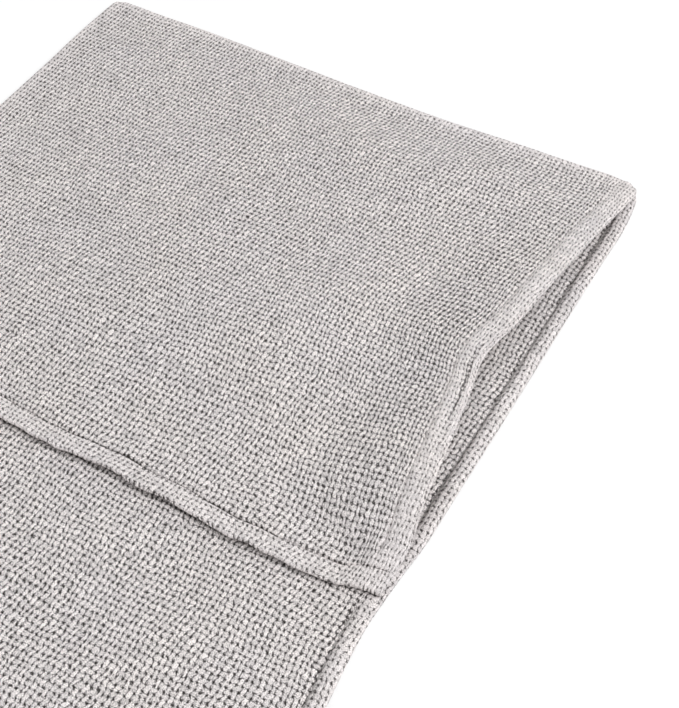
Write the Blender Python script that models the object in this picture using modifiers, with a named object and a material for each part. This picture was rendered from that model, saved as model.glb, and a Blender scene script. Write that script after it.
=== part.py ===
"""Sofa armrest organizer, a cloth strip that drapes over an armrest, with pockets at both ends.

The strip lies flat, with X across it, Y along it and Z up. The origin is under the middle of the
armrest panel. The large tablet pocket is at the +Y end and its mouth is in the +X edge.
Everything is in metres.
"""
import math

import bmesh
import bpy
from mathutils import Matrix, Vector

# The strip
STRIP_WIDTH = 0.300
ARM_WIDTH = 0.292
TABLET_END_LENGTH = 0.304
REMOTE_END_LENGTH = 0.304
FOLD_LENGTH = 0.020

# The cloths, and the room between two that touch
CLOTH_THICKNESS = 0.0020
LINING_THICKNESS = 0.0010
TOUCH_GAP = 0.0003
CLOTH_EDGE_ROUND = 0.0005
EDGE_ROUND_STEPS = 2

# The turned edge of the strip, whose fold goes round the edge of the lining
EDGE_HEM_WIDTH = 0.008
EDGE_HEM_RISE = 0.0010
EDGE_TURN_UNDER = 0.0050

# The tablet pocket
TABLET_POCKET_LENGTH = 0.260
TABLET_ROOM = 0.0120
TABLET_RAMP_NEAR_HEM = 0.020
TABLET_RAMP_NEAR_END = 0.024
TABLET_RAMP_NEAR_SIDE = 0.100
TABLET_MOUTH_DRAW = 0.009
TABLET_MOUTH_HEM_WIDTH = 0.008
TABLET_TOP_HEM_WIDTH = 0.012
TABLET_HEM_DRAW = 0.005
TABLET_HEM_DRAW_REACH = 0.060
TABLET_HEM_THICKNESS = 0.0034
TABLET_SIDE_SEAM_WIDTH = 0.010
TABLET_END_ROOM = 0.0044
TABLET_END_TUCK = 0.002
TABLET_RIPPLE = 0.0008

# The three patch pockets
SMALL_POCKET_LENGTH = 0.165
SMALL_POCKET_END_MARGIN = 0.016
SMALL_POCKET_SEAM_WIDTH = 0.005
SMALL_POCKET_HEM_WIDTH = 0.014
SMALL_POCKET_HEM_THICKNESS = 0.0032
GLASSES_POCKET_ROOM = 0.021
PHONE_POCKET_ROOM = 0.014
REMOTE_POCKET_ROOM = 0.019
SMALL_POCKET_SPACING = 0.005
SMALL_POCKET_SIDE_MARGIN = 0.013

# The patch pockets' widths, as shares of the width that the three have together
GLASSES_WIDTH_SHARE = 0.345
PHONE_WIDTH_SHARE = 0.355

# How wide the step is between doubled and single cloth
HEM_STEP_WIDTH = 0.0012

# Shapes of profiles, as shares of the sizes that they follow
HEM_STATION_SHARES = (0.0, 0.22, 0.78, 1.0)
HEM_RISE_SHARES = (0.3, 1.0, 1.0, 0.0)
POCKET_FULL_SHARE = 0.60
POCKET_BASE_SHARE = 0.80
POCKET_ARCH_POWER = 0.6

# Counts of grid lines
PANEL_STEPS_ACROSS = 8
PANEL_STEPS_ALONG = 8
FOLD_STEPS_ALONG = 4
TABLET_STEPS_ACROSS = 13
TABLET_STEPS_ALONG = 13
ROLL_STEPS = 6
ARCH_STEPS = 12
POCKET_STEPS_ALONG = 10

# The share of a surface's width and length over which its slope is taken
SLOPE_SHARE = 0.001

# Colours, linear
CLOTH_COLOUR = (0.50, 0.475, 0.462, 1.0)
LINING_COLOUR = (0.33, 0.32, 0.31, 1.0)
CLOTH_ROUGHNESS = 0.92
LINING_ROUGHNESS = 0.85

# Places that follow from the sizes
HALF_WIDTH = STRIP_WIDTH / 2
FOLD_LINE = ARM_WIDTH / 2
FOLD_HALF = FOLD_LENGTH / 2
CLOTH_UNDERSIDE = LINING_THICKNESS + TOUCH_GAP
CLOTH_TOP = CLOTH_UNDERSIDE + CLOTH_THICKNESS
HINGE_HEIGHT = CLOTH_TOP / 2
TABLET_END = FOLD_LINE + TABLET_END_LENGTH
REMOTE_END = -FOLD_LINE - REMOTE_END_LENGTH
ROLL_HEIGHT = CLOTH_TOP + EDGE_HEM_RISE + TOUCH_GAP + TABLET_END_ROOM + CLOTH_THICKNESS
ROLL_START = TABLET_END - ROLL_HEIGHT / 2 - TABLET_END_TUCK
TABLET_HEM_LINE = TABLET_END - TABLET_POCKET_LENGTH


def clear_scene():
    """Remove what a new file holds."""
    for thing in list(bpy.data.objects):
        bpy.data.objects.remove(thing)
    for mesh in list(bpy.data.meshes):
        bpy.data.meshes.remove(mesh)


def finish(name, colour, roughness):
    """A Principled material for one cloth piece."""
    material = bpy.data.materials.new(name)
    material.use_nodes = True
    shader = material.node_tree.nodes["Principled BSDF"]
    shader.inputs["Base Color"].default_value = colour
    shader.inputs["Roughness"].default_value = roughness
    shader.inputs["Metallic"].default_value = 0.0
    material.diffuse_color = colour
    return material


def upholstery(name):
    """The coarse woven cloth of everything that shows."""
    return finish(name + "_upholstery", CLOTH_COLOUR, CLOTH_ROUGHNESS)


def lining(name):
    """The smooth grey cloth of the underside."""
    return finish(name + "_cloth", LINING_COLOUR, LINING_ROUGHNESS)


def clamp(value):
    """The value, held between 0 and 1."""
    return max(0.0, min(1.0, value))


def smooth(value):
    """A soft step from 0 to 1."""
    share = clamp(value)
    return share * share * (3 - 2 * share)


def mix(low, high, share):
    """The value that lies at a share of the way from low to high."""
    return low + (high - low) * share


def steps(low, high, count):
    """Evenly spaced stations from low to high, both included."""
    return [mix(low, high, index / count) for index in range(count + 1)]


def spaced(stations):
    """The stations in order, without those that nearly repeat the one before."""
    kept = []
    for station in sorted(stations):
        if not kept or station - kept[-1] > TOUCH_GAP:
            kept.append(station)
    return kept


def follow(shares, values, place):
    """Read a profile that is given by values at rising shares."""
    for low, high, start, end in zip(shares, shares[1:], values, values[1:]):
        if place <= high:
            return mix(start, end, (place - low) / (high - low))
    return values[-1]


def half_round(share):
    """Height of a half circle of radius 1 at a share of its width, and 0 outside it."""
    inside = clamp(share)
    return 2 * math.sqrt(inside * (1 - inside))


def quarter_round(share):
    """Height of a quarter circle of radius 1 that starts upright, and 1 after its end."""
    rest = 1 - clamp(share)
    return math.sqrt(1 - rest * rest)


def cloth_body(name, across, along, face, back, material, rounded=False):
    """A closed piece of cloth: a grid for its back, and its extruded copy for its face."""
    bm = bmesh.new()
    bmesh.ops.create_grid(bm, x_segments=len(across) - 1, y_segments=len(along) - 1, size=1)
    back_verts = bm.verts[:]
    raised = bmesh.ops.extrude_face_region(bm, geom=bm.faces[:])
    face_verts = [item for item in raised["geom"] if isinstance(item, bmesh.types.BMVert)]
    if rounded:
        weigh_rim(bm, set(face_verts))
    for verts, surface in ((back_verts, back), (face_verts, face)):
        for vert in verts:
            column = round((vert.co.x + 1) / 2 * (len(across) - 1))
            row = round((vert.co.y + 1) / 2 * (len(along) - 1))
            vert.co = surface(across[column], along[row])
    bmesh.ops.recalc_face_normals(bm, faces=bm.faces[:])
    mesh = bpy.data.meshes.new(name)
    bm.to_mesh(mesh)
    bm.free()
    mesh.materials.append(material)
    mesh.shade_smooth()
    mesh.set_sharp_from_angle(angle=math.radians(50))
    body = bpy.data.objects.new(name, mesh)
    if rounded:
        rounding = body.modifiers.new("cloth edge", "BEVEL")
        rounding.width = CLOTH_EDGE_ROUND
        rounding.segments = EDGE_ROUND_STEPS
        rounding.limit_method = "WEIGHT"
    return body


def weigh_rim(bm, face_verts):
    """Mark the edges where the cut rim of a cloth meets its face and its back, to be rounded."""
    weight = bm.edges.layers.float.new("bevel_weight_edge")
    for edge in bm.edges:
        in_face = [vert in face_verts for vert in edge.verts]
        if in_face[0] != in_face[1]:
            continue
        for wall in edge.link_faces:
            sides = {vert in face_verts for vert in wall.verts}
            if len(sides) == 2:
                edge[weight] = 1.0


def hem_rise(distance):
    """How far the turned edge stands above the cloth, at a distance from the edge."""
    return EDGE_HEM_RISE * follow(HEM_STATION_SHARES, HEM_RISE_SHARES, distance / EDGE_HEM_WIDTH)


def hem_distance(x, y):
    """The distance to the nearest turned edge: a long edge, or the far edge of the remote end."""
    return min(HALF_WIDTH - abs(x), y - REMOTE_END)


def strip_top(x, y):
    """Height of the strip's upper surface."""
    return CLOTH_TOP + hem_rise(hem_distance(x, y))


def seat(x):
    """Height at which a pocket's cloth lies on the strip, kept up over the whole width of a hem."""
    beyond = HALF_WIDTH - abs(x) - EDGE_HEM_WIDTH
    return CLOTH_TOP + TOUCH_GAP + EDGE_HEM_RISE * clamp(1 - beyond / HEM_STEP_WIDTH)


def strip_underside(x, y):
    """Height of the upholstery's underside, which is down on the ground where it turns under."""
    if hem_distance(x, y) < EDGE_TURN_UNDER + TOUCH_GAP / 2:
        return 0.0
    return CLOTH_UNDERSIDE


def edge_stations():
    """Stations from a turned edge inwards, to where the cloth is single again."""
    hem = [share * EDGE_HEM_WIDTH for share in HEM_STATION_SHARES]
    return sorted(hem + [EDGE_TURN_UNDER, EDGE_TURN_UNDER + TOUCH_GAP])


def stations_across():
    """Grid lines across the whole strip, with the hems of both long edges."""
    edge = edge_stations()
    left = [-HALF_WIDTH + distance for distance in edge]
    right = [HALF_WIDTH - distance for distance in reversed(edge)]
    return left + steps(left[-1], right[0], PANEL_STEPS_ACROSS)[1:-1] + right


def strip_piece(name, along, underside=strip_underside):
    """A piece of the strip's upholstery cloth."""
    return cloth_body(
        name,
        stations_across(),
        along,
        lambda x, y: Vector((x, y, strip_top(x, y))),
        lambda x, y: Vector((x, y, underside(x, y))),
        upholstery(name),
    )


def lining_piece(name, start, end):
    """A piece of lining, which lies on the ground between the turned edges."""
    reach = HALF_WIDTH - EDGE_TURN_UNDER - 2 * TOUCH_GAP
    return cloth_body(
        name,
        steps(-reach, reach, PANEL_STEPS_ACROSS),
        steps(start, end, PANEL_STEPS_ALONG),
        lambda x, y: Vector((x, y, LINING_THICKNESS)),
        lambda x, y: Vector((x, y, 0.0)),
        lining(name),
    )


def armrest():
    """The part of the strip that lies on the sofa's arm."""
    reach = FOLD_LINE - FOLD_HALF
    return [
        strip_piece("armrest_panel", steps(-reach, reach, PANEL_STEPS_ALONG)),
        lining_piece("armrest_lining", -reach, reach),
    ]


def fold(name, line):
    """The strip, cloth and lining together, where it bends over an edge of the arm."""
    reach = FOLD_HALF - TOUCH_GAP
    along = steps(line - reach, line + reach, FOLD_STEPS_ALONG)
    return strip_piece(name, along, underside=lambda x, y: 0.0)


def tablet_end():
    """The end that hangs outside the arm, up to where the pocket's far end rolls over."""
    start = FOLD_LINE + FOLD_HALF
    end = ROLL_START - TOUCH_GAP
    return [
        strip_piece("tablet_end_panel", steps(start, end, PANEL_STEPS_ALONG)),
        lining_piece("tablet_end_lining", start, end),
    ]


def remote_end():
    """The end that hangs beside the seat, with a turned far edge."""
    start = -FOLD_LINE - FOLD_HALF
    edge = [REMOTE_END + distance for distance in edge_stations()]
    lining_end = REMOTE_END + EDGE_TURN_UNDER + 2 * TOUCH_GAP
    return [
        strip_piece("remote_end_panel", edge + steps(edge[-1], start, PANEL_STEPS_ALONG)[1:]),
        lining_piece("remote_end_lining", lining_end, start),
    ]


def thickened(surface, thickness):
    """The back of a cloth, which lies its thickness behind the face, along the face's normal."""

    def back(s, t):
        side = surface(s + SLOPE_SHARE, t) - surface(s - SLOPE_SHARE, t)
        ahead = surface(s, t + SLOPE_SHARE) - surface(s, t - SLOPE_SHARE)
        return surface(s, t) - side.cross(ahead).normalized() * thickness(s, t)

    return back


def hem_line(x):
    """Y of the tablet pocket's stitched hem, which is drawn a little inwards at the mouth."""
    from_mouth = (HALF_WIDTH - x) / TABLET_HEM_DRAW_REACH
    return TABLET_HEM_LINE + TABLET_HEM_DRAW * (1 - smooth(from_mouth))


def mouth_line(y):
    """X of the tablet pocket's mouth, which is drawn in between its two ends."""
    share = clamp((y - TABLET_HEM_LINE) / TABLET_POCKET_LENGTH)
    return HALF_WIDTH - TABLET_MOUTH_DRAW * math.sin(math.pi * share) ** 2


def tablet_room(x, y):
    """Clear height inside the tablet pocket."""
    near_side = smooth((x + HALF_WIDTH - TABLET_SIDE_SEAM_WIDTH) / TABLET_RAMP_NEAR_SIDE)
    near_hem = smooth((y - hem_line(x) - TABLET_TOP_HEM_WIDTH) / TABLET_RAMP_NEAR_HEM)
    near_end = smooth((ROLL_START - y) / TABLET_RAMP_NEAR_END)
    length_share = (y - TABLET_HEM_LINE) / TABLET_POCKET_LENGTH
    width_share = (x + HALF_WIDTH) / STRIP_WIDTH
    wave = math.sin(3 * math.pi * length_share) * math.sin(2 * math.pi * width_share) ** 2
    full = mix(TABLET_END_ROOM, TABLET_ROOM + TABLET_RIPPLE * wave, near_end)
    return full * near_hem * near_side


def tablet_thickness(x, y):
    """Thickness of the tablet pocket's front, doubled in its stitched hem and in its mouth hem."""
    from_hem = y - hem_line(x) - TABLET_TOP_HEM_WIDTH
    from_mouth = mouth_line(y) - x - TABLET_MOUTH_HEM_WIDTH
    from_roll = ROLL_START - y
    doubled = max(clamp(1 - from_hem / HEM_STEP_WIDTH), clamp(1 - from_mouth / HEM_STEP_WIDTH))
    return mix(CLOTH_THICKNESS, TABLET_HEM_THICKNESS, doubled * clamp(from_roll / HEM_STEP_WIDTH))


def tablet_place(s, t):
    """The place on the pocket's plan at a share s of its width and t of its length."""
    y = mix(TABLET_HEM_LINE, ROLL_START, clamp(t))
    x = mix(-HALF_WIDTH, mouth_line(y), s)
    return x, mix(hem_line(x), ROLL_START, min(t, 1.0))


def tablet_face(s, t):
    """The outer face of the tablet pocket's front, from its closed side (s 0) to its mouth (s 1).

    t is 0 at the stitched hem and 1 where the roll starts. The roll runs from 2 to 3, and by 4
    the cloth has come back under the strip.
    """
    x, y = tablet_place(s, t)
    top = seat(x) + tablet_room(x, y) + tablet_thickness(x, y)
    if t <= 1:
        return Vector((x, y, top))
    radius = top / 2
    reach = TABLET_END - radius
    angle = math.pi * clamp(t - 2)
    if t < 2:
        return Vector((x, mix(ROLL_START, reach, t - 1), top))
    if t > 3:
        return Vector((x, mix(reach, ROLL_START, t - 3), 0.0))
    return Vector((x, reach + radius * math.sin(angle), radius + radius * math.cos(angle)))


def tablet_pocket():
    """The raised front of the tablet pocket, open along the strip's edge and closed all round else."""

    def thickness(s, t):
        x, y = tablet_place(s, t)
        return tablet_thickness(x, y)

    hem = TABLET_TOP_HEM_WIDTH / TABLET_POCKET_LENGTH
    step_along = HEM_STEP_WIDTH / TABLET_POCKET_LENGTH
    side = [0.0, EDGE_HEM_WIDTH, EDGE_HEM_WIDTH + HEM_STEP_WIDTH]
    mouth = spaced(side + [TABLET_MOUTH_HEM_WIDTH, TABLET_MOUTH_HEM_WIDTH + HEM_STEP_WIDTH])
    middle = steps(side[-1], STRIP_WIDTH - mouth[-1], TABLET_STEPS_ACROSS)[1:-1]
    places = side + middle + [STRIP_WIDTH - distance for distance in reversed(mouth)]
    across = [place / STRIP_WIDTH for place in places]
    along = [0.0] + steps(hem, 1.0 - step_along, TABLET_STEPS_ALONG) + [1.0]
    along.insert(2, hem + step_along)
    along += steps(2.0, 3.0, ROLL_STEPS) + [4.0]
    name = "tablet_pocket_front"
    back = thickened(tablet_face, thickness)
    return cloth_body(name, across, along, tablet_face, back, upholstery(name), rounded=True)


def small_pocket(name, centre, width, room):
    """A patch pocket on the remote end, sewn down on three sides and bowed open at its mouth."""
    bottom = REMOTE_END + SMALL_POCKET_END_MARGIN
    seam = SMALL_POCKET_SEAM_WIDTH / width
    seam_along = SMALL_POCKET_SEAM_WIDTH / SMALL_POCKET_LENGTH
    hem = 1 - SMALL_POCKET_HEM_WIDTH / SMALL_POCKET_LENGTH
    hem_step = HEM_STEP_WIDTH / SMALL_POCKET_LENGTH

    def thickness(s, t):
        return mix(CLOTH_THICKNESS, SMALL_POCKET_HEM_THICKNESS, clamp((t - hem) / hem_step))

    def face(s, t):
        x = centre + (s - 0.5) * width
        y = bottom + t * SMALL_POCKET_LENGTH
        inside = (s - seam) / (1 - 2 * seam)
        ahead = (t - seam_along) / (1 - seam_along)
        swell = quarter_round(ahead / POCKET_FULL_SHARE) * mix(POCKET_BASE_SHARE, 1.0, ahead)
        height = room * half_round(inside) ** POCKET_ARCH_POWER * swell
        return Vector((x, y, CLOTH_TOP + TOUCH_GAP + height + thickness(s, t)))

    arch = [(1 - math.cos(math.pi * share)) / 2 for share in steps(0.0, 1.0, ARCH_STEPS)]
    rise = [1 - math.cos(math.pi / 2 * share) for share in steps(0.0, 1.0, POCKET_STEPS_ALONG)]
    across = [0.0] + [mix(seam, 1 - seam, share) for share in arch] + [1.0]
    along = [0.0] + [mix(seam_along, hem, share) for share in rise] + [hem + hem_step, 1.0]
    return cloth_body(name, across, along, face, thickened(face, thickness), upholstery(name), rounded=True)


def small_pockets():
    """The row of patch pockets, which fills the strip's width between its two margins."""
    remote_share = 1 - GLASSES_WIDTH_SHARE - PHONE_WIDTH_SHARE
    sizes = (
        ("glasses_pocket", GLASSES_WIDTH_SHARE, GLASSES_POCKET_ROOM),
        ("phone_pocket", PHONE_WIDTH_SHARE, PHONE_POCKET_ROOM),
        ("remote_pocket", remote_share, REMOTE_POCKET_ROOM),
    )
    left = SMALL_POCKET_SIDE_MARGIN - HALF_WIDTH
    cloth_width = -2 * left - SMALL_POCKET_SPACING * (len(sizes) - 1)
    pockets = []
    for name, share, room in sizes:
        width = share * cloth_width
        pockets.append(small_pocket(name, left + width / 2, width, room))
        left += width + SMALL_POCKET_SPACING
    return pockets


def hang_on_hinge(name, line, pieces, collection):
    """Give the pieces of a moving end one parent, which lies on the fold that they turn about."""
    hinge = bpy.data.objects.new(name, None)
    hinge.location = (0.0, line, HINGE_HEIGHT)
    collection.objects.link(hinge)
    for piece in pieces:
        piece.data.transform(Matrix.Translation(-hinge.location))
        piece.parent = hinge


def build_part():
    """Make every piece and put it in the organizer's collection."""
    clear_scene()
    organizer = bpy.data.collections.new("sofa_armrest_organizer")
    bpy.context.scene.collection.children.link(organizer)
    middle = armrest() + [fold("tablet_fold", FOLD_LINE), fold("remote_fold", -FOLD_LINE)]
    outside = tablet_end() + [tablet_pocket()]
    inside = remote_end() + small_pockets()
    for piece in middle + outside + inside:
        organizer.objects.link(piece)
    hang_on_hinge("tablet_hinge", FOLD_LINE, outside, organizer)
    hang_on_hinge("remote_hinge", -FOLD_LINE, inside, organizer)


build_part()
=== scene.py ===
# %% [markdown]
# # A sofa armrest organizer in coarse woven cloth
# The real object is one long strip of thick, slubby cloth. Its middle lies over the arm of a sofa.
# One end is folded back on itself and hemmed, which makes a flat pocket for a tablet that is open
# at the side. The other end carries three patch pockets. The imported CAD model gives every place
# and every joint; this lesson dresses it, so it is loaded first and never changed.

# %% Load the frame
import math
import bpy
import numpy as np
from mathutils import Matrix, Vector


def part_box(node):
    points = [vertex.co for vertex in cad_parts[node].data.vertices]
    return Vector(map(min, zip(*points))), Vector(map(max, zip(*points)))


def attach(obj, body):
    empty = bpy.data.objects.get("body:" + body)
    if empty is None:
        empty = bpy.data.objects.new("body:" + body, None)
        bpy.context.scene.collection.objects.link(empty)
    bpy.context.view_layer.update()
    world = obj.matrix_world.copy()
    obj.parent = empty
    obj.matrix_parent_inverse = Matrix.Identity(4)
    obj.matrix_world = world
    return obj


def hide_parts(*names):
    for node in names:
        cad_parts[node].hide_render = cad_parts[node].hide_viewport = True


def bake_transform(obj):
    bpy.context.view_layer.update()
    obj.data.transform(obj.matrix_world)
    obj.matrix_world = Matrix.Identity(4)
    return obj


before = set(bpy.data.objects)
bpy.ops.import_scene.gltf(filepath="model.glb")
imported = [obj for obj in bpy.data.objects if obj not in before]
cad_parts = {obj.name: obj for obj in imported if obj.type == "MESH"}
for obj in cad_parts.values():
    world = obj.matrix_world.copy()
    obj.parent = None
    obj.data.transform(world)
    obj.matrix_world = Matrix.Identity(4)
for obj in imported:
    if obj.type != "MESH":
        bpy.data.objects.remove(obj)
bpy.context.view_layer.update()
scene = bpy.context.scene

# %% [markdown]
# ## The camera
# The picture is taken from above the open edge, about 50 degrees down. The place and the direction
# below come from fitting the corners, the edges and the weave's own grid of a flat strip to what
# the picture shows. The focal length is kept in pixels of the frame, and turned into millimetres.

# %% Place the camera
PICTURE_HEIGHT = 708
FOCAL_PIXELS = 1300.0
SENSOR_MM = 36.0
CAMERA_PLACE = (0.25513, -0.01794, 0.41984)
TO_RIGHT = (0.868502, 0.495678, 0.002904)
TO_TOP = (-0.378470, 0.659331, 0.649648)
BACKWARDS = (0.320101, -0.565320, 0.760230)

lens = bpy.data.cameras.new("photo_camera")
lens.sensor_fit = "VERTICAL"
lens.sensor_height = SENSOR_MM
lens.lens = FOCAL_PIXELS / PICTURE_HEIGHT * SENSOR_MM
lens.clip_start = 0.01
camera = bpy.data.objects.new("photo_camera", lens)
turn = Matrix((TO_RIGHT, TO_TOP, BACKWARDS)).transposed().to_4x4()
camera.matrix_world = Matrix.Translation(CAMERA_PLACE) @ turn
scene.collection.objects.link(camera)
scene.camera = camera
print("lens", round(lens.lens, 1), "mm")

# %% [markdown]
# ## Short words for nodes
# Materials and geometry here are trees of nodes. Two small helpers keep them readable: one adds a
# node and fills or links its inputs, the other does a single sum.

# %% Helpers for node trees


def wire(tree, kind, settings=(), **inputs):
    """Add a node, set its properties, and link or fill its inputs, given by name or by i and number."""
    node = tree.nodes.new(kind)
    for key, value in settings:
        setattr(node, key, value)
    for key, value in inputs.items():
        by_number = key[0] == "i" and key[1:].isdigit()
        socket = node.inputs[int(key[1:]) if by_number else key.replace("_", " ")]
        if isinstance(value, bpy.types.NodeSocket):
            tree.links.new(value, socket)
        else:
            socket.default_value = value
    return node


def calc(tree, operation, *values):
    """One sum, whose result is handed back."""
    inputs = {f"i{index}": value for index, value in enumerate(values)}
    return wire(tree, "ShaderNodeMath", [("operation", operation)], **inputs).outputs[0]


def seen_directly(tree):
    """1 for what the camera sees, itself or in a mirror or through glass, and 0 for light that bounces."""
    ray = tree.nodes.new("ShaderNodeLightPath")
    mirrored = calc(tree, "MAXIMUM", ray.outputs["Is Camera Ray"], ray.outputs["Is Glossy Ray"])
    return calc(tree, "MAXIMUM", mirrored, ray.outputs["Is Transmission Ray"])


def blank_material(name):
    """A new material, and its empty tree."""
    material = bpy.data.materials.new(name)
    material.use_nodes = True
    material.node_tree.nodes.clear()
    return material, material.node_tree


# %% [markdown]
# ## Light and ground
# The cloth is lit softly and evenly, a little more from the right, so that the folded left edge and
# the inner side of each hem are a touch darker. A grey world lights it from all sides and one large
# lamp gives the direction. The camera sees the world and the floor as white, but the floor still
# takes a faint shadow. Light that bounces meets white paper, which lights the cloth's edges from
# below.

# %% Set the light
WHITE = (1, 1, 1, 1)
WORLD_LEVEL = 0.62
KEY_POWER = 62.0
KEY_SIZE = 1.8
KEY_PLACE = (2.5, 0.5, 2.8)
KEY_AIM = (0.0, 0.25, 0.0)

scene.view_settings.view_transform = "Standard"
world = bpy.data.worlds.new("studio")
world.use_nodes = True
scene.world = world
sky = world.node_tree
sky.nodes.clear()
grey_sky = wire(sky, "ShaderNodeBackground", Color=WHITE, Strength=WORLD_LEVEL)
white_sky = wire(sky, "ShaderNodeBackground", Color=WHITE, Strength=1.0)
both_skies = wire(sky, "ShaderNodeMixShader", i0=seen_directly(sky), i1=grey_sky.outputs[0],
                  i2=white_sky.outputs[0])
wire(sky, "ShaderNodeOutputWorld", Surface=both_skies.outputs[0])

lamp_data = bpy.data.lights.new("key_lamp", "AREA")
lamp_data.energy = KEY_POWER
lamp_data.size = KEY_SIZE
key_lamp = bpy.data.objects.new("key_lamp", lamp_data)
key_lamp.location = KEY_PLACE
key_lamp.rotation_euler = (Vector(KEY_AIM) - Vector(KEY_PLACE)).to_track_quat("-Z", "Y").to_euler()
scene.collection.objects.link(key_lamp)
print("world level", WORLD_LEVEL, "and one lamp of", KEY_POWER, "W")

# %% Lay the floor
FLOOR_REACH = 6.0
FLOOR_BOUNCE = 0.80
FLOOR_SHADED = 0.35
FLOOR_GLOW = 0.70

floor_corners = [(x * FLOOR_REACH, y * FLOOR_REACH, 0.0) for x, y in ((-1, -1), (1, -1), (1, 1), (-1, 1))]
floor_mesh = bpy.data.meshes.new("studio_floor")
floor_mesh.from_pydata(floor_corners, [], [(0, 1, 2, 3)])
floor = bpy.data.objects.new("studio_floor", floor_mesh)
scene.collection.objects.link(floor)
paper, paper_tree = blank_material("white_paper")
seen = seen_directly(paper_tree)
paper_tone = calc(paper_tree, "MULTIPLY_ADD", seen, FLOOR_SHADED - FLOOR_BOUNCE, FLOOR_BOUNCE)
matt = wire(paper_tree, "ShaderNodeBsdfDiffuse", Color=paper_tone)
glow = wire(paper_tree, "ShaderNodeEmission", Color=WHITE,
            Strength=calc(paper_tree, "MULTIPLY", seen, FLOOR_GLOW))
both = wire(paper_tree, "ShaderNodeAddShader", i0=matt.outputs[0], i1=glow.outputs[0])
wire(paper_tree, "ShaderNodeOutputMaterial", Surface=both.outputs[0])
floor_mesh.materials.append(paper)
print("floor of", 2 * FLOOR_REACH, "by", 2 * FLOOR_REACH, "m")

# %% [markdown]
# ## The weave
# Seen close, the cloth is a plain weave of thick soft yarn: each thread goes over one thread and
# under the next, and a dark pit is left at each corner where four of them meet. Threads lie 2.2 mm
# apart across the strip and 2.7 mm apart along it. They are thinner than that, so the places where
# they lie on top are long and oval, and the pits between them lean a little. The pattern is
# computed from the piece's own UV map, which is in metres on the flat cloth, so it follows every
# fold and hem. The same rule is written twice: as numbers here, to raise the threads on hems, and
# as shader nodes in the next cell.

# %% Describe the weave in numbers
THREAD_ACROSS = 0.00221
THREAD_ALONG = 0.00272
CRIMP = 0.42
ROUNDNESS = 0.75
SINK = 0.22
UV_NAME = "flat_cloth"
TIGHTNESS_AND_SHADE_ATTRIBUTE = "tightness_and_painted_shade"
UPHOLSTERY_WIDTHS = (0.70, 0.80)
WARP_STANDS_UP = 0.05
PIT_SLANT = 0.06


def threads_at(flat):
    """Places on the flat cloth, moved a little, because no thread lies quite straight."""
    u, v = flat[..., 0], flat[..., 1]
    aside = 0.0009 * np.sin(v * 61.0 + 2.0 * np.sin(u * 37.0)) + 0.0005 * np.sin(v * 143.0 + u * 71.0)
    ahead = 0.0007 * np.sin(u * 53.0 + 2.0 * np.sin(v * 29.0)) + 0.0005 * np.sin(u * 127.0 - v * 83.0)
    return np.stack([u + aside, v + ahead], -1)


def set_height(own, other, sign, width):
    """Height of the threads of one direction."""
    index = np.floor(own)
    back = np.sqrt(np.clip(1 - (2 * (own - index - 0.5) / width) ** 2, 0, 1))
    crimp = sign * np.cos(np.pi * index) * np.cos(np.pi * (other - 0.5))
    return ROUNDNESS * back + CRIMP * crimp - SINK + sign * WARP_STANDS_UP


def weave_height(u, v):
    """Height of the weave, from about -0.2 in a pit to 1 on a thread's top."""
    x, y = u / THREAD_ACROSS, v / THREAD_ALONG
    x = x + PIT_SLANT * np.sin(2 * np.pi * y)
    return np.maximum(set_height(x, y, 1, UPHOLSTERY_WIDTHS[0]), set_height(y, x, -1, UPHOLSTERY_WIDTHS[1]))


# %% [markdown]
# ## The weave as shader nodes
# The colour is worked out at every point of the cloth by the same rule. A thread's thickness
# changes along it, as it does in slubby yarn, and each place where a thread lies on top gets a tone
# of its own. Fine noise makes the yarn look hairy, and a bump turns the height into relief. A
# picture of cloth would be quicker, but it would repeat, and it would blur when seen close.

# %% Build the weave as shader nodes
DRIFT = 1.1


def flat_noise(tree, place, scale, detail, output="Fac", **more):
    """Noise over the flat cloth."""
    noise = wire(tree, "ShaderNodeTexNoise", [("noise_dimensions", "2D")], Vector=place, Scale=scale,
                 Detail=detail, **more)
    return noise.outputs[output]


def arrow(tree, operation, **inputs):
    """One sum on a place or a colour, whose result is handed back."""
    return wire(tree, "ShaderNodeVectorMath", [("operation", operation)], **inputs).outputs[0]


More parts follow.
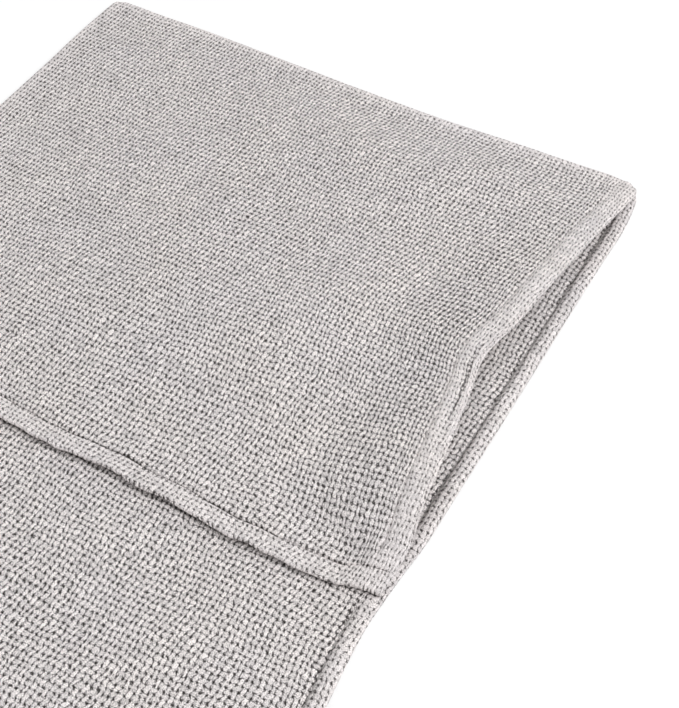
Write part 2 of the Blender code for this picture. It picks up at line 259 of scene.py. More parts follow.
def thread_set(tree, own, other, sign, width, slub):
    """The threads of one direction: their height, and a random tone for each place on top."""
    index = calc(tree, "FLOOR", own)
    place = calc(tree, "SUBTRACT", calc(tree, "SUBTRACT", own, index), 0.5)
    # Each thread reads the noise far from its neighbours, so no two share their thick places
    spot = wire(tree, "ShaderNodeCombineXYZ", X=calc(tree, "MULTIPLY_ADD", index, 7.31, 50.0 * sign),
                Y=calc(tree, "MULTIPLY", other, 1.1))
    thin = flat_noise(tree, spot.outputs[0], 1.0, 2.0)
    thickness = calc(tree, "MULTIPLY_ADD", thin, 4 * slub * width, width * (1 - 2 * slub))
    share = calc(tree, "DIVIDE", calc(tree, "MULTIPLY", place, 2.0), thickness)
    inside = calc(tree, "MAXIMUM", calc(tree, "SUBTRACT", 1.0, calc(tree, "MULTIPLY", share, share)), 0.0)
    swing = calc(tree, "COSINE", calc(tree, "MULTIPLY", calc(tree, "SUBTRACT", other, 0.5), math.pi))
    parity = calc(tree, "COSINE", calc(tree, "MULTIPLY", index, math.pi))
    crimp = calc(tree, "MULTIPLY_ADD", calc(tree, "MULTIPLY", parity, swing), CRIMP * sign,
                 sign * WARP_STANDS_UP - SINK)
    height = calc(tree, "MULTIPLY_ADD", calc(tree, "SQRT", inside), ROUNDNESS, crimp)
    # Every place where the thread lies on top has a number, and white noise turns it into a tone
    on_top = calc(tree, "MULTIPLY_ADD", calc(tree, "ADD", other, index), 0.5, 0.5 - 0.25 * sign)
    key = wire(tree, "ShaderNodeCombineXYZ", X=calc(tree, "ADD", index, 0.37 + 3.1 * sign),
               Y=calc(tree, "FLOOR", on_top))
    tone = wire(tree, "ShaderNodeTexWhiteNoise", [("noise_dimensions", "2D")], Vector=key.outputs[0])
    return height, tone.outputs["Value"]


def higher(tree, one, two):
    """Of two sets, the height and the tone of the one on top."""
    first = calc(tree, "GREATER_THAN", one[0], two[0])
    tone = wire(tree, "ShaderNodeMix", [("data_type", "FLOAT")], i0=first, i2=two[1], i3=one[1])
    return calc(tree, "MAXIMUM", one[0], two[0]), tone.outputs[0]


def plain_weave(tree, flat, pitch, widths, slub):
    """The weave's height, a tone for each place on top, and 1 where the thread runs along the strip."""
    wander = flat_noise(tree, flat, 0.45 / pitch[0], 2.0, "Color")
    centred = arrow(tree, "SUBTRACT", i0=wander, i1=(0.5, 0.5, 0.5))
    moved = arrow(tree, "SCALE", i0=centred, Scale=pitch[0] * DRIFT)
    split = wire(tree, "ShaderNodeSeparateXYZ", Vector=arrow(tree, "ADD", i0=flat, i1=moved))
    x = calc(tree, "DIVIDE", split.outputs["X"], pitch[0])
    y = calc(tree, "DIVIDE", split.outputs["Y"], pitch[1])
    x = calc(tree, "MULTIPLY_ADD", calc(tree, "SINE", calc(tree, "MULTIPLY", y, 2 * math.pi)), PIT_SLANT, x)
    warp = thread_set(tree, x, y, 1, widths[0], slub)
    weft = thread_set(tree, y, x, -1, widths[1], slub)
    top, tone = higher(tree, warp, weft)
    return top, tone, calc(tree, "GREATER_THAN", warp[0], weft[0])


# %% [markdown]
# ## From height to cloth
# Yarn that lies on top is light. The pits and the threads' sides take a dark tone, which is painted
# shade. Where a hem or a seam pulls the cloth tight the pits close up, so every point of the cloth
# carries a number that says how tight it is; below 0 that number paints shade into the cloth. The
# cloth is matt, with a little sheen from loose fibres. The lining is the same recipe, finer.

# %% Make the two cloths


def woven_cloth(name, yarn, pitch, widths, height, roughness, slub, tone_range, cloud_range):
    """A material for a plain weave, from its yarn's colours and its threads' pitch."""
    material, tree = blank_material(name)
    uv = wire(tree, "ShaderNodeUVMap", [("uv_map", UV_NAME)]).outputs[0]
    top, tone, warp_on_top = plain_weave(tree, uv, pitch, widths, slub)
    fibre = flat_noise(tree, uv, 4.6 / pitch[0], 3.0, Roughness=0.75)
    tuft = flat_noise(tree, uv, 1.3 / pitch[0], 1.0)
    cloud = flat_noise(tree, uv, 26.0, 2.0)
    tightness_and_shade = wire(tree, "ShaderNodeAttribute", [("attribute_name", TIGHTNESS_AND_SHADE_ATTRIBUTE)]).outputs["Fac"]
    raised = calc(tree, "MULTIPLY_ADD", fibre, 2.2, calc(tree, "SUBTRACT", top, 1.25))
    raised = calc(tree, "MULTIPLY_ADD", tuft, 0.3, raised)
    # Above 0 the pits close up; below 0 they open and the spot darkens, which is painted shade
    raised = calc(tree, "MULTIPLY_ADD", tightness_and_shade, 0.28, raised)
    # Painted shade: the deeper a point lies, the more it takes the dark pit tone
    out_of_pit_shade = wire(tree, "ShaderNodeMapRange", [("interpolation_type", "SMOOTHSTEP")], Value=raised,
                      i1=-0.05, i2=0.80, i3=0.0, i4=1.0).outputs[0]
    hue = calc(tree, "ADD", calc(tree, "MULTIPLY_ADD", cloud, 1.4, -0.30), calc(tree, "MULTIPLY", tone, 0.2))
    threads = wire(tree, "ShaderNodeMix", [("data_type", "RGBA"), ("clamp_factor", True)], i0=hue,
                   i6=yarn["cool"], i7=yarn["warm"]).outputs[2]
    shown = wire(tree, "ShaderNodeMix", [("data_type", "RGBA")], i0=out_of_pit_shade, i6=yarn["painted_pit_shade"],
                 i7=threads).outputs[2]
    bright = calc(tree, "MULTIPLY_ADD", tone, tone_range, 1 - tone_range / 2)
    bright = calc(tree, "MULTIPLY", bright, calc(tree, "MULTIPLY_ADD", fibre, 2.1, -0.05))
    bright = calc(tree, "MULTIPLY", bright, calc(tree, "MULTIPLY_ADD", warp_on_top, 0.08, 0.96))
    clouded = calc(tree, "MULTIPLY_ADD", cloud, cloud_range, 1 - cloud_range / 2)
    toned = arrow(tree, "SCALE", i0=shown, Scale=calc(tree, "MULTIPLY", bright, clouded))
    relief = wire(tree, "ShaderNodeBump", Strength=1.0, Distance=height,
                  Height=calc(tree, "MAXIMUM", top, 0.1))
    shader = wire(tree, "ShaderNodeBsdfPrincipled", Base_Color=toned, Roughness=roughness,
                  Normal=relief.outputs[0], Sheen_Weight=0.1, Sheen_Roughness=0.5, Specular_IOR_Level=0.15)
    wire(tree, "ShaderNodeOutputMaterial", Surface=shader.outputs[0])
    material.diffuse_color = yarn["warm"]
    return material


# The pit tone of each yarn is painted shade, for its pits and the sides of its threads
GREIGE = {"warm": (0.858, 0.806, 0.788, 1), "cool": (0.842, 0.797, 0.801, 1),
          "painted_pit_shade": (0.044, 0.038, 0.036, 1)}
DARK_GREY = {"warm": (0.36, 0.35, 0.34, 1), "cool": (0.34, 0.34, 0.34, 1), "painted_pit_shade": (0.16, 0.155, 0.15, 1)}
LINING_PITCH = (0.0007, 0.0008)
DENSE_WIDTHS = (1.0, 1.0)
upholstery = woven_cloth("upholstery_weave", GREIGE, (THREAD_ACROSS, THREAD_ALONG), UPHOLSTERY_WIDTHS,
                         height=0.00030, roughness=0.9, slub=0.16, tone_range=0.22, cloud_range=0.05)
lining_cloth = woven_cloth("lining_weave", DARK_GREY, LINING_PITCH, DENSE_WIDTHS,
                           height=0.0002, roughness=0.85, slub=0.05, tone_range=0.10, cloud_range=0.10)
print("weave of", THREAD_ACROSS * 1000, "by", THREAD_ALONG * 1000, "mm")

# %% [markdown]
# ## Sheets of cloth as grids of numbers
# Every cloth piece here is a face and a back, each a grid of points with the same number of rows
# and columns, joined round the rim. That is quick to compute, always closed, and gives a UV map
# for free: each point keeps its place on the flat cloth. Small helpers shape the profiles.

# %% Helpers for profiles


def ease(value):
    """A soft step from 0 to 1."""
    share = np.clip(value, 0.0, 1.0)
    return share * share * (3 - 2 * share)


def hill(value):
    """A soft hill that is 1 at 0 and 0 from 1 on."""
    return ease(1 - np.abs(value))


def mix(low, high, share):
    """The value that lies at a share of the way from low to high."""
    return low + (high - low) * share


def through(place, stations, values):
    """A smooth curve through a few chosen places."""
    stations, values = np.asarray(stations, float), np.asarray(values, float)
    slopes = np.gradient(values, stations)
    index = np.clip(np.searchsorted(stations, place) - 1, 0, len(stations) - 2)
    span = stations[index + 1] - stations[index]
    t = np.clip((place - stations[index]) / span, 0.0, 1.0)
    start, end = values[index], values[index + 1]
    rise, fall = slopes[index] * span, slopes[index + 1] * span
    bend = rise * t * (1 - t) ** 2 - fall * t * t * (1 - t)
    return start * (1 + 2 * t) * (1 - t) ** 2 + end * t * t * (3 - 2 * t) + bend


def grid_normals(points):
    """The direction that a grid's upper side faces, at each of its points."""
    normal = np.cross(np.gradient(points, axis=1), np.gradient(points, axis=0))
    return normal / np.maximum(np.linalg.norm(normal, axis=2, keepdims=True), 1e-12)


def raise_threads(points, flat, amount):
    """Lift the threads of the weave on a finely divided part of a grid."""
    threads = threads_at(flat)
    lift = amount * (weave_height(threads[..., 0], threads[..., 1]) - 0.5)
    return points + grid_normals(points) * lift[..., None]


def round_corner(points, corner, inward, radius):
    """Round a corner in plan: points in the square beside it move onto circles."""
    away = (points[..., :2] - np.asarray(corner)) * np.asarray(inward)
    gap = radius - away
    near = (gap[..., 0] > 0) & (gap[..., 1] > 0)
    longest = np.max(gap, axis=-1)
    scale = np.where(near, longest / np.maximum(np.linalg.norm(gap, axis=-1), 1e-12), 1.0)
    away = radius - gap * scale[..., None]
    rounded = np.asarray(corner) + away * np.asarray(inward)
    points[..., :2] = np.where(near[..., None], rounded, points[..., :2])
    return points


# %% [markdown]
# ## A closed piece from two grids
# A mesh is filled from arrays here, which is much quicker than adding its points one by one. The
# face and the back are both nets of four-sided faces, and four walls close the rim between them.
# Each point also keeps how tight the cloth is pulled there, and below 0 how much shade is painted into it,
# for the material to read.

# %% Make a closed piece of cloth


def cloth_piece(name, face, back, flat_face, flat_back, material, tightness_and_shade=None):
    """A closed piece of cloth from two grids of points and their places on the flat cloth."""
    rows, columns = face.shape[:2]
    points = np.concatenate([face.reshape(-1, 3), back.reshape(-1, 3)])
    flat = np.concatenate([flat_face.reshape(-1, 2), flat_back.reshape(-1, 2)])
    count = rows * columns
    number = np.arange(count).reshape(rows, columns)
    near_left, near_right = number[:-1, :-1], number[:-1, 1:]
    far_left, far_right = number[1:, :-1], number[1:, 1:]
    quads = [np.stack([near_left, near_right, far_right, far_left], -1).reshape(-1, 4),
             np.stack([near_left, far_left, far_right, near_right], -1).reshape(-1, 4) + count]
    for rim, turned in ((number[0], False), (number[-1], True), (number[:, 0], True), (number[:, -1], False)):
        wall = np.stack([rim[:-1] + count, rim[1:] + count, rim[1:], rim[:-1]], -1)
        quads.append(wall[:, ::-1] if turned else wall)
    quads = np.concatenate(quads)
    mesh = bpy.data.meshes.new(name)
    mesh.vertices.add(len(points))
    mesh.vertices.foreach_set("co", points.astype(np.float32).ravel())
    mesh.loops.add(quads.size)
    mesh.loops.foreach_set("vertex_index", quads.astype(np.int32).ravel())
    mesh.polygons.add(len(quads))
    mesh.polygons.foreach_set("loop_start", np.arange(0, quads.size, 4, dtype=np.int32))
    mesh.update(calc_edges=True)
    layer = mesh.uv_layers.new(name=UV_NAME)
    layer.data.foreach_set("uv", threads_at(flat)[quads.ravel()].astype(np.float32).ravel())
    tightness_and_shade_grid = np.zeros((rows, columns)) if tightness_and_shade is None else np.broadcast_to(tightness_and_shade, (rows, columns))
    values = np.concatenate([tightness_and_shade_grid.ravel(), tightness_and_shade_grid.ravel()]).astype(np.float32)
    mesh.attributes.new(TIGHTNESS_AND_SHADE_ATTRIBUTE, "FLOAT", "POINT").data.foreach_set("value", values)
    mesh.materials.append(material)
    mesh.shade_smooth()
    mesh.set_sharp_from_angle(angle=math.radians(65))
    piece = bpy.data.objects.new(name, mesh)
    scene.collection.objects.link(piece)
    span = (points.max(0) - points.min(0)) * 1000
    print(name, "measures", span.round(1).tolist(), "mm, with", 2 * len(quads), "triangles")
    return piece


# %% [markdown]
# ## The strip lying on the ground
# The strip is 300 mm wide and 900 mm long. Its long edges are turned under and sewn, so they are
# round and a little thicker, with a shallow groove where the stitches pull the cloth in. Cloth
# that was folded for the shop never lies quite flat: a low ridge stays where it bends over each
# edge of the sofa's arm. The open edge bulges where the pocket's hem holds it.

# %% Measures of the strip
HALF_WIDTH = 0.150
STRIP_END = 0.450
FOLD_LINE = 0.146
CLOTH = 0.0020
CLOTH_UNDERSIDE = 0.0013
CLOTH_TOP = 0.0033
GAP = 0.0003
LOWEST = 0.0001
HEM_RADIUS = 0.00215
SEAM_RADIUS = 0.0015
GROOVE_INSET = 0.0070
LAST_INSET = 0.0090
ARC = np.linspace(-math.pi / 2, math.pi / 2, 9)
HEM_INSETS = (0.0032, 0.0045, 0.0056, 0.0064, GROOVE_INSET, 0.0077, LAST_INSET)
HEM_RISES = (0.0012, 0.0013, 0.0008, -0.0001, -0.0011, -0.0006, -0.0001)
RISE_LIMITS = (-0.0012, 0.0013)
SEAM_DEPTH = 0.0010
EDGE_COUNT = len(ARC) + len(HEM_INSETS)
TURNED_COUNT = 11
BACK_INSETS = np.concatenate([np.linspace(0.0025, 0.0056, TURNED_COUNT),
                              np.linspace(0.0059, LAST_INSET, EDGE_COUNT - TURNED_COUNT)])
POCKET_START = 0.190
RIDGE_HEIGHT = 0.0028
RIDGE_REACH = 0.017
SLOW_WAVES = 0.00035


def open_edge(y):
    """X of the strip's edge on the side of the tablet pocket's mouth."""
    stations = (-0.45, -0.20, 0.00, 0.06, 0.11, 0.150, 0.170, 0.190, 0.205, 0.225, 0.26, 0.40, 0.427, 0.44,
                0.452)
    values = (0.1500, 0.1506, 0.1512, 0.1532, 0.1554, 0.1551, 0.1527, 0.1517, 0.1523, 0.154, 0.1546, 0.1553,
              0.1556, 0.1543, 0.1518)
    return through(y, stations, values)


def closed_edge(y):
    """X of the strip's other edge, which is a touch wavy and spreads at the pocket's far corner."""
    stations = (-0.45, -0.20, 0.00, 0.15, 0.25, 0.35, 0.37, 0.39, 0.41, 0.43, 0.456)
    values = (-0.1500, -0.1505, -0.1498, -0.1504, -0.1500, -0.1495, -0.1499, -0.1505, -0.1515, -0.1519,
              -0.1518)
    return through(y, stations, values)


def pull_far_end(points):
    """Move points by the pocket's far end, which isn't cut quite square: it dips in towards the middle."""
    stations = (-0.152, -0.12, -0.09, -0.06, -0.03, 0.00, 0.05, 0.09, 0.12, 0.138, 0.152)
    moves = (0.0040, 0.0034, 0.0032, 0.0021, 0.0006, -0.0011, -0.0022, -0.0006, 0.0001, 0.0008, -0.0008)
    move = through(np.clip(points[..., 0], -0.152, 0.152), stations, moves)
    points[..., 1] += move * ease((points[..., 1] - 0.33) / 0.11)
    return points


def cloth_lift(x, y):
    """How far the cloth stands off the ground, at the old folds and in slow waves."""
    lift = 0.0
    for line, phase in ((FOLD_LINE, 0.4), (-FOLD_LINE, 2.1)):
        centre = line + 0.0016 * np.sin(x * 21.0 + phase) + 0.0007 * np.sin(x * 57.0 + phase)
        lift = lift + RIDGE_HEIGHT / (1 + ((y - centre) / RIDGE_REACH) ** 2)
    wave = np.sin(y * 31.0 + 2.0 * np.sin(x * 13.0)) * np.sin(x * 19.0 + 1.0)
    return lift + SLOW_WAVES * (1 + wave)


def hem_line(x):
    """Y of the pocket's hem, which is drawn back a little at the open corner."""
    stations = (-0.151, -0.020, 0.006, 0.030, 0.050, 0.067, 0.085, 0.101, 0.112, 0.133, 0.139, 0.152)
    values = (0.1919, 0.1925, 0.1916, 0.1931, 0.1922, 0.1922, 0.1908, 0.1914, 0.1916, 0.1935, 0.1953, 0.1980)
    return through(x, stations, values) + 0.0002 * np.sin(x * 355.0 + 2.0 * np.sin(x * 57.0))


def hem_share(y, side):
    """1 where an edge is an open hem, and 0 where the pocket is sewn to it or presses it flat."""
    closed = ease((y - POCKET_START + 0.006) / 0.014)
    if side > 0:
        closed = closed * (1 - ease((y - 0.212) / 0.030))
    return 1 - closed


def edge_shape(hemmed):
    """A hemmed edge's insets and rises, with the arc that brings it up from the ground."""
    radius = mix(SEAM_RADIUS, HEM_RADIUS, hemmed)
    lines = radius.shape[:-1]
    insets = [radius * (1 - np.cos(ARC)), np.broadcast_to(HEM_INSETS, lines + (len(HEM_INSETS),))]
    rises = [np.full(lines + (len(ARC),), HEM_RISES[0]),
             np.broadcast_to(HEM_RISES, lines + (len(HEM_RISES),))]
    flat_rises = np.concatenate([np.full(len(ARC), -0.0003), np.linspace(-0.0002, 0, len(HEM_RISES))])
    return np.concatenate(insets, -1), mix(flat_rises, np.concatenate(rises, -1), hemmed)


# %% [markdown]
# ## The strip's two halves
# The strip crosses both folds, so it is made in two halves that meet in the middle of the sofa's
# arm, and each half bends with one end. Rows run across the strip. They lie close together where
# the threads of the hem are raised, in the part that the picture shows from near by.

# %% Make the two halves of the strip
ACROSS = 58
EDGE_FULL = np.concatenate([(1 + np.sin(ARC)) / 2, np.ones(len(HEM_INSETS))])
EDGE_UNDER = np.concatenate([np.zeros(TURNED_COUNT), np.full(EDGE_COUNT - TURNED_COUNT, CLOTH_UNDERSIDE)])
# How tight each edge is pulled, and below 0 the painted shade in its stitch groove
EDGE_TIGHTNESS_AND_SHADE = np.concatenate([np.linspace(1.0, 0.5, len(ARC)), (0.5, 0.5, 0.3, -0.3, -1.1, -0.6, -0.2)])
THREAD_RELIEF = 0.00035
CORNER_RADIUS = 0.005
BACK_SHIFT = (0.0, 3.0)


def both_edges(edge, middle):
    """One number for each column: an edge, the middle, and the same edge turned round."""
    return np.concatenate([edge, np.full(ACROSS, middle), edge[::-1]])


def strip_half(name, rows, fine_rows, hemmed_end):
    """Half of the strip's upholstery, from the middle of the arm to one end."""
    y = np.asarray(rows, float)[:, None]
    share = np.linspace(0, 1, ACROSS + 2)[1:-1]
    left_inset, left_rise = edge_shape(hem_share(y, -1))
    right_inset, right_rise = edge_shape(hem_share(y, 1))
    left, right = closed_edge(y), open_edge(y)
    start, stop = left + LAST_INSET, right - LAST_INSET
    inner = start + (stop - start) * share
    face_x = np.concatenate([left + left_inset, inner, right - right_inset[:, ::-1]], 1)
    back_x = np.concatenate([left + BACK_INSETS, inner, right - BACK_INSETS[::-1]], 1)
    rise = np.concatenate([left_rise, np.zeros(inner.shape), right_rise[:, ::-1]], 1)
    full = np.broadcast_to(both_edges(EDGE_FULL, 1.0), face_x.shape)
    under = np.broadcast_to(both_edges(EDGE_UNDER, CLOTH_UNDERSIDE), face_x.shape)
    face_y, back_y = y, y
    if hemmed_end:
        # The first rows follow the end's hem as the first columns follow the side's
        end_inset, end_rise = edge_shape(np.ones((1, 1)))
        rest = len(rows) - EDGE_COUNT
        face_y = np.concatenate([-STRIP_END + end_inset[0], rows[EDGE_COUNT:]])[:, None]
        back_y = np.concatenate([-STRIP_END + BACK_INSETS, rows[EDGE_COUNT:]])[:, None]
        rise = np.clip(rise + np.concatenate([end_rise[0], np.zeros(rest)])[:, None], *RISE_LIMITS)
        full = np.minimum(full, np.concatenate([EDGE_FULL, np.ones(rest)])[:, None])
        under = np.minimum(under, np.concatenate([EDGE_UNDER, np.full(rest, CLOTH_UNDERSIDE)])[:, None])
    face_z = (CLOTH_TOP + rise) * full + cloth_lift(face_x, face_y)
    back_z = under + cloth_lift(back_x, back_y)
    face = np.stack(np.broadcast_arrays(face_x, face_y, face_z), -1)
    back = np.stack(np.broadcast_arrays(back_x, back_y, back_z), -1)
    if hemmed_end:
        for side, edge in ((1, left[0, 0]), (-1, right[0, 0])):
            face = round_corner(face, (edge, -STRIP_END), (side, 1), CORNER_RADIUS)
            back = round_corner(back, (edge, -STRIP_END), (side, 1), CORNER_RADIUS)
    # Places on the flat cloth: across, they follow the hem's curve, so that no thread is stretched
    run = np.concatenate([[0], np.cumsum(np.hypot(np.diff(left_inset[0]), np.diff(CLOTH_TOP * EDGE_FULL)))])
    middle = -HALF_WIDTH + LAST_INSET + 2 * (HALF_WIDTH - LAST_INSET) * share
    u = np.concatenate([-HALF_WIDTH + LAST_INSET + run - run[-1], middle,
                        HALF_WIDTH - LAST_INSET + run[-1] - run[::-1]])
    flat = np.stack(np.broadcast_arrays(u[None, :], face_y), -1)
    face, back = pull_far_end(face), pull_far_end(back)
    at_hem = both_edges(np.ones(EDGE_COUNT), 0.0)[None, :]
    face = raise_threads(face, flat, THREAD_RELIEF * at_hem * fine_rows[:, None])
    face[..., 2] = np.maximum(face[..., 2], LOWEST)
    # Below 0 the number paints shade: into the edges' stitch grooves, and a painted shadow on the strip close
    # under the pocket's hem
    painted_hem_shadow = hill((face_y - hem_line(np.clip(face_x, -HALF_WIDTH, HALF_WIDTH)) - 0.0014) / 0.0024)
    tightness_and_shade = both_edges(EDGE_TIGHTNESS_AND_SHADE, 0.0)[None, :] - 1.2 * painted_hem_shadow
    return cloth_piece(name, face, back, flat, flat + BACK_SHIFT, upholstery, tightness_and_shade)


ROLL_START = 0.4425
ROW_STEP = 0.0026
FINE_STEP = 0.0010
FINE_START = 0.090
FINE_END = 0.240
tablet_rows = np.concatenate([np.arange(0.0, FINE_START - 0.0001, ROW_STEP),
                              np.arange(FINE_START, FINE_END - 0.0001, FINE_STEP),
                              np.arange(FINE_END, ROLL_START - GAP, ROW_STEP), [ROLL_START - GAP]])
tablet_fine = ((tablet_rows > FINE_START - FINE_STEP) & (tablet_rows < FINE_END + FINE_STEP)).astype(float)
tablet_half = strip_half("tablet_half_cloth", tablet_rows, tablet_fine, False)
remote_rows = np.concatenate([np.full(EDGE_COUNT, -STRIP_END),
                              np.arange(-STRIP_END + LAST_INSET + ROW_STEP, -0.001, ROW_STEP), [0.0]])
remote_half = strip_half("remote_half_cloth", remote_rows, np.zeros(len(remote_rows)), True)

# %% [markdown]
# ## The tablet pocket
# The strip's far end is rolled back over itself and lies on it as the pocket's front. The front
# leaves room for a tablet, so it stands off the strip near its mouth and sinks to it at the closed
# side and at its hem. The mouth is hemmed with a wide puffy band whose turned-under layer peeks out
# below it in the middle, where the cloth sags inwards. These lines are read off the picture at a
# few stations, and the rest of the shape follows from them.

# %% Measures of the tablet pocket
ROLL_AXIS = 0.4455
BAND_WIDTH = 0.0096
MOUTH_STATIONS = (0.190, 0.210, 0.235, 0.255, 0.290, 0.314, 0.335, 0.375, 0.410, 0.440, 0.450)
MOUTH_X = (0.1505, 0.1520, 0.1487, 0.1460, 0.1403, 0.1364, 0.1402, 0.1456, 0.1499, 0.1528, 0.1532)
HEIGHT_STATIONS = (0.188, 0.205, 0.215, 0.235, 0.255, 0.280, 0.310, 0.340, 0.370, 0.400, 0.425, 0.4455)
MOUTH_HEIGHTS = (0.0040, 0.0060, 0.0095, 0.0155, 0.0165, 0.0145, 0.0130, 0.0135, 0.0140, 0.0130, 0.0098,
                 0.0062)
TABLET_ROOM = 0.0112
END_ROOM = 0.0028
HOLLOW_DEPTH = 0.0040
CREST_HEIGHT = 0.0008
BAND_STANDS_UP = 0.0008
HEM_CLOTH = 0.0026
HEM_STITCHES = 0.0090
HEM_STANDS_UP = 0.0022
CORD_MIDDLE = 0.295
CORD_REACH = 0.042
CORD_GROOVE = 0.0006


def band_thickness(y):
    """Thickness of the mouth's hemmed band, pressed thinner at both ends."""
    return 0.0040 - 0.0011 * (1 - ease((y - 0.198) / 0.028)) - 0.0006 * ease((y - 0.41) / 0.03)


def front_height(x, y):
    """Height of the front's upper side, apart from the details at its edges."""
    seat = CLOTH_TOP + cloth_lift(x, y) + GAP + CLOTH
    from_hem = ease((y - hem_line(x) - 0.0085) / 0.085)
    from_side = ease((x + HALF_WIDTH - 0.003) / 0.230) ** 0.85
    room = mix(TABLET_ROOM, END_ROOM, ease((y - 0.400) / 0.045))
    hollow = HOLLOW_DEPTH * hill((x - 0.106) / 0.050) * hill((y - 0.320) / 0.115)
    ripple = 0.0005 * np.sin(y * 47.0 + 1.0) * np.sin(x * 29.0 + 0.5)
    crest = CREST_HEIGHT * hill((y - 0.243) / 0.030) * ease((x - 0.03) / 0.08)
    inner = seat + (room + ripple + crest) * from_hem * from_side - hollow
    edge_top = through(y, HEIGHT_STATIONS, MOUTH_HEIGHTS) + BAND_STANDS_UP + band_thickness(y) / 2
    mouth = through(y, MOUTH_STATIONS, MOUTH_X)
    near_hem = 1 - ease((y - 0.205) / 0.02)
    reach = mix(0.042, 0.012, near_hem)
    return mix(inner, edge_top, ease((x - mouth + BAND_WIDTH + reach) / reach))


tallest = front_height(np.full(200, 0.06), np.linspace(0.20, 0.44, 200)).max()
print("the front stands", round(tallest * 1000, 1), "mm off the ground, 60 mm right of the middle")

# %% [markdown]
# ## The front's net of rows and columns
# The front is one grid from its hem to its far end. Its first rows round the hem's edge and follow
# the hem's own line, and further on the rows are straight. Its first columns make the seam at the
# closed side, and its last ones the band and the band's round edge. Rows and columns lie close
# together only there, where there is something to see.

# %% Lay out the front's rows and columns
MOUTH_INSETS = np.array([0.0160, 0.0140, 0.0122, 0.0110, 0.0102, BAND_WIDTH, 0.0089, 0.0080, 0.0070, 0.0060,
                         0.0050, 0.0040, 0.0031])
MOUTH_RISES = np.array([0.0, 0.0, 0.0, -0.0001, -0.0004, -0.0008, -0.0003, 0.0002, 0.0004, 0.0005, 0.0005,
                        0.0004, 0.0003])
LIP_ARC = np.linspace(math.pi / 2, -math.pi / 2, 13)
FRONT_LEFT = np.array([0.0, 0.0003, 0.0008, 0.0014, 0.0022, 0.0032, 0.0045, 0.0060, 0.0075, LAST_INSET])
FRONT_ACROSS = 112
FIRST_STRAIGHT = 0.2070
FRONT_STEP = 0.00095
HEM_ROWS = np.array([0.0028, 0.0038, 0.0049, 0.0060, 0.0071, 0.0080, 0.0086, HEM_STITCHES, 0.0094, 0.0100,
                     0.0109, 0.0119, 0.0129])
HEM_ROW_RISES = np.array([0.0001, 0.0002, 0.0002, 0.0003, 0.0004, 0.0004, 0.0001, -0.0013, 0.0, 0.0003,
                          0.0002, 0.0, 0.0])
STITCH_ROW = len(ARC) + HEM_ROWS.tolist().index(HEM_STITCHES)
HEM_COUNT = len(ARC) + len(HEM_ROWS)
SEAM_COUNT = len(FRONT_LEFT)
BAND_COUNT = len(MOUTH_INSETS)
LIP_COUNT = len(LIP_ARC)
BEFORE_BAND = MOUTH_INSETS.tolist().index(BAND_WIDTH)


def lip_profile(thickness, lip):
    """The band's edge from its top to its bottom: one round edge, or two lips with a notch between."""
    radius = thickness / 2
    one_in, one_up = radius * (1 - np.cos(LIP_ARC)), radius * np.sin(LIP_ARC)
    upper, lower = 0.56 * radius, 0.46 * radius
    half = LIP_COUNT // 2
    sweep_up = np.linspace(math.pi / 2, -0.75, half)
    sweep_down = np.linspace(0.75, -math.pi / 2, half)
    two_in = np.concatenate([0.0011 + upper * (1 - np.cos(sweep_up)), np.full_like(radius, 0.0019),
                             lower * (1 - np.cos(sweep_down))], -1)
    two_up = np.concatenate([radius - upper + upper * np.sin(sweep_up), np.full_like(radius, -0.0001),
                             lower - radius + lower * np.sin(sweep_down)], -1)
    return mix(one_in, two_in, lip), mix(one_up, two_up, lip)


straight = np.append(np.arange(FIRST_STRAIGHT, ROLL_AXIS - 0.0005, FRONT_STEP), ROLL_AXIS)[:, None]
rows = HEM_COUNT + len(straight)
no_inset = np.full(len(straight), np.nan)
inset = np.concatenate([HEM_CLOTH / 2 * (1 - np.cos(ARC)), HEM_ROWS, no_inset])[:, None]
back_hem = np.linspace(HEM_CLOTH / 2 + 0.0002, 0.0087, STITCH_ROW + 1)
back_inset = np.concatenate([back_hem, HEM_ROWS[STITCH_ROW + 1 - len(ARC):], no_inset])[:, None]
row_y = np.concatenate([np.full((HEM_COUNT, 1), np.nan), straight])
rough_y = np.where(np.isnan(row_y), POCKET_START + inset, row_y)

left, mouth = closed_edge(rough_y), through(rough_y, MOUTH_STATIONS, MOUTH_X)
thickness = band_thickness(rough_y)
lip_in, lip_up = lip_profile(thickness, ease((0.378 - rough_y) / 0.05) * ease((rough_y - 0.206) / 0.02))
share = np.linspace(0, 1, FRONT_ACROSS + 2)[1:-1]
start, stop = left + LAST_INSET, mouth - MOUTH_INSETS[0]
inner = start + (stop - start) * share
x = np.concatenate([left + FRONT_LEFT, inner, mouth - MOUTH_INSETS, mouth - lip_in], 1)
back_edge = np.linspace(0.0085, 0.0026, BAND_COUNT - BEFORE_BAND + LIP_COUNT)
back_insets = np.concatenate([MOUTH_INSETS[:BEFORE_BAND], back_edge])
back_x = np.concatenate([left + FRONT_LEFT, inner, mouth - back_insets], 1)
columns = x.shape[1]
lip_start = columns - LIP_COUNT
band_start = lip_start - BAND_COUNT
print("the front has", rows, "rows and", columns, "columns before its roll")

# %% [markdown]
# ## The front's upper side
# Small rises are added to the height above. The stitches pull the hem in and pucker it, and the
# hem's free edge stands up on the near side of them. The band swells between its stitches, and in
# its middle its outermost turn stands apart like a cord. The closed side curves down to a seam.

# %% Shape the front's upper side


def row_place(across, insets):
    """Y of each point of a row, which follows the hem's line near the hem."""
    hem = hem_line(np.clip(across, -HALF_WIDTH, HALF_WIDTH))
    along = row_y + (hem - hem_line(0.0)) * (1 - ease((row_y - FIRST_STRAIGHT) / 0.030))
    return np.where(np.isnan(row_y), hem + insets, along)


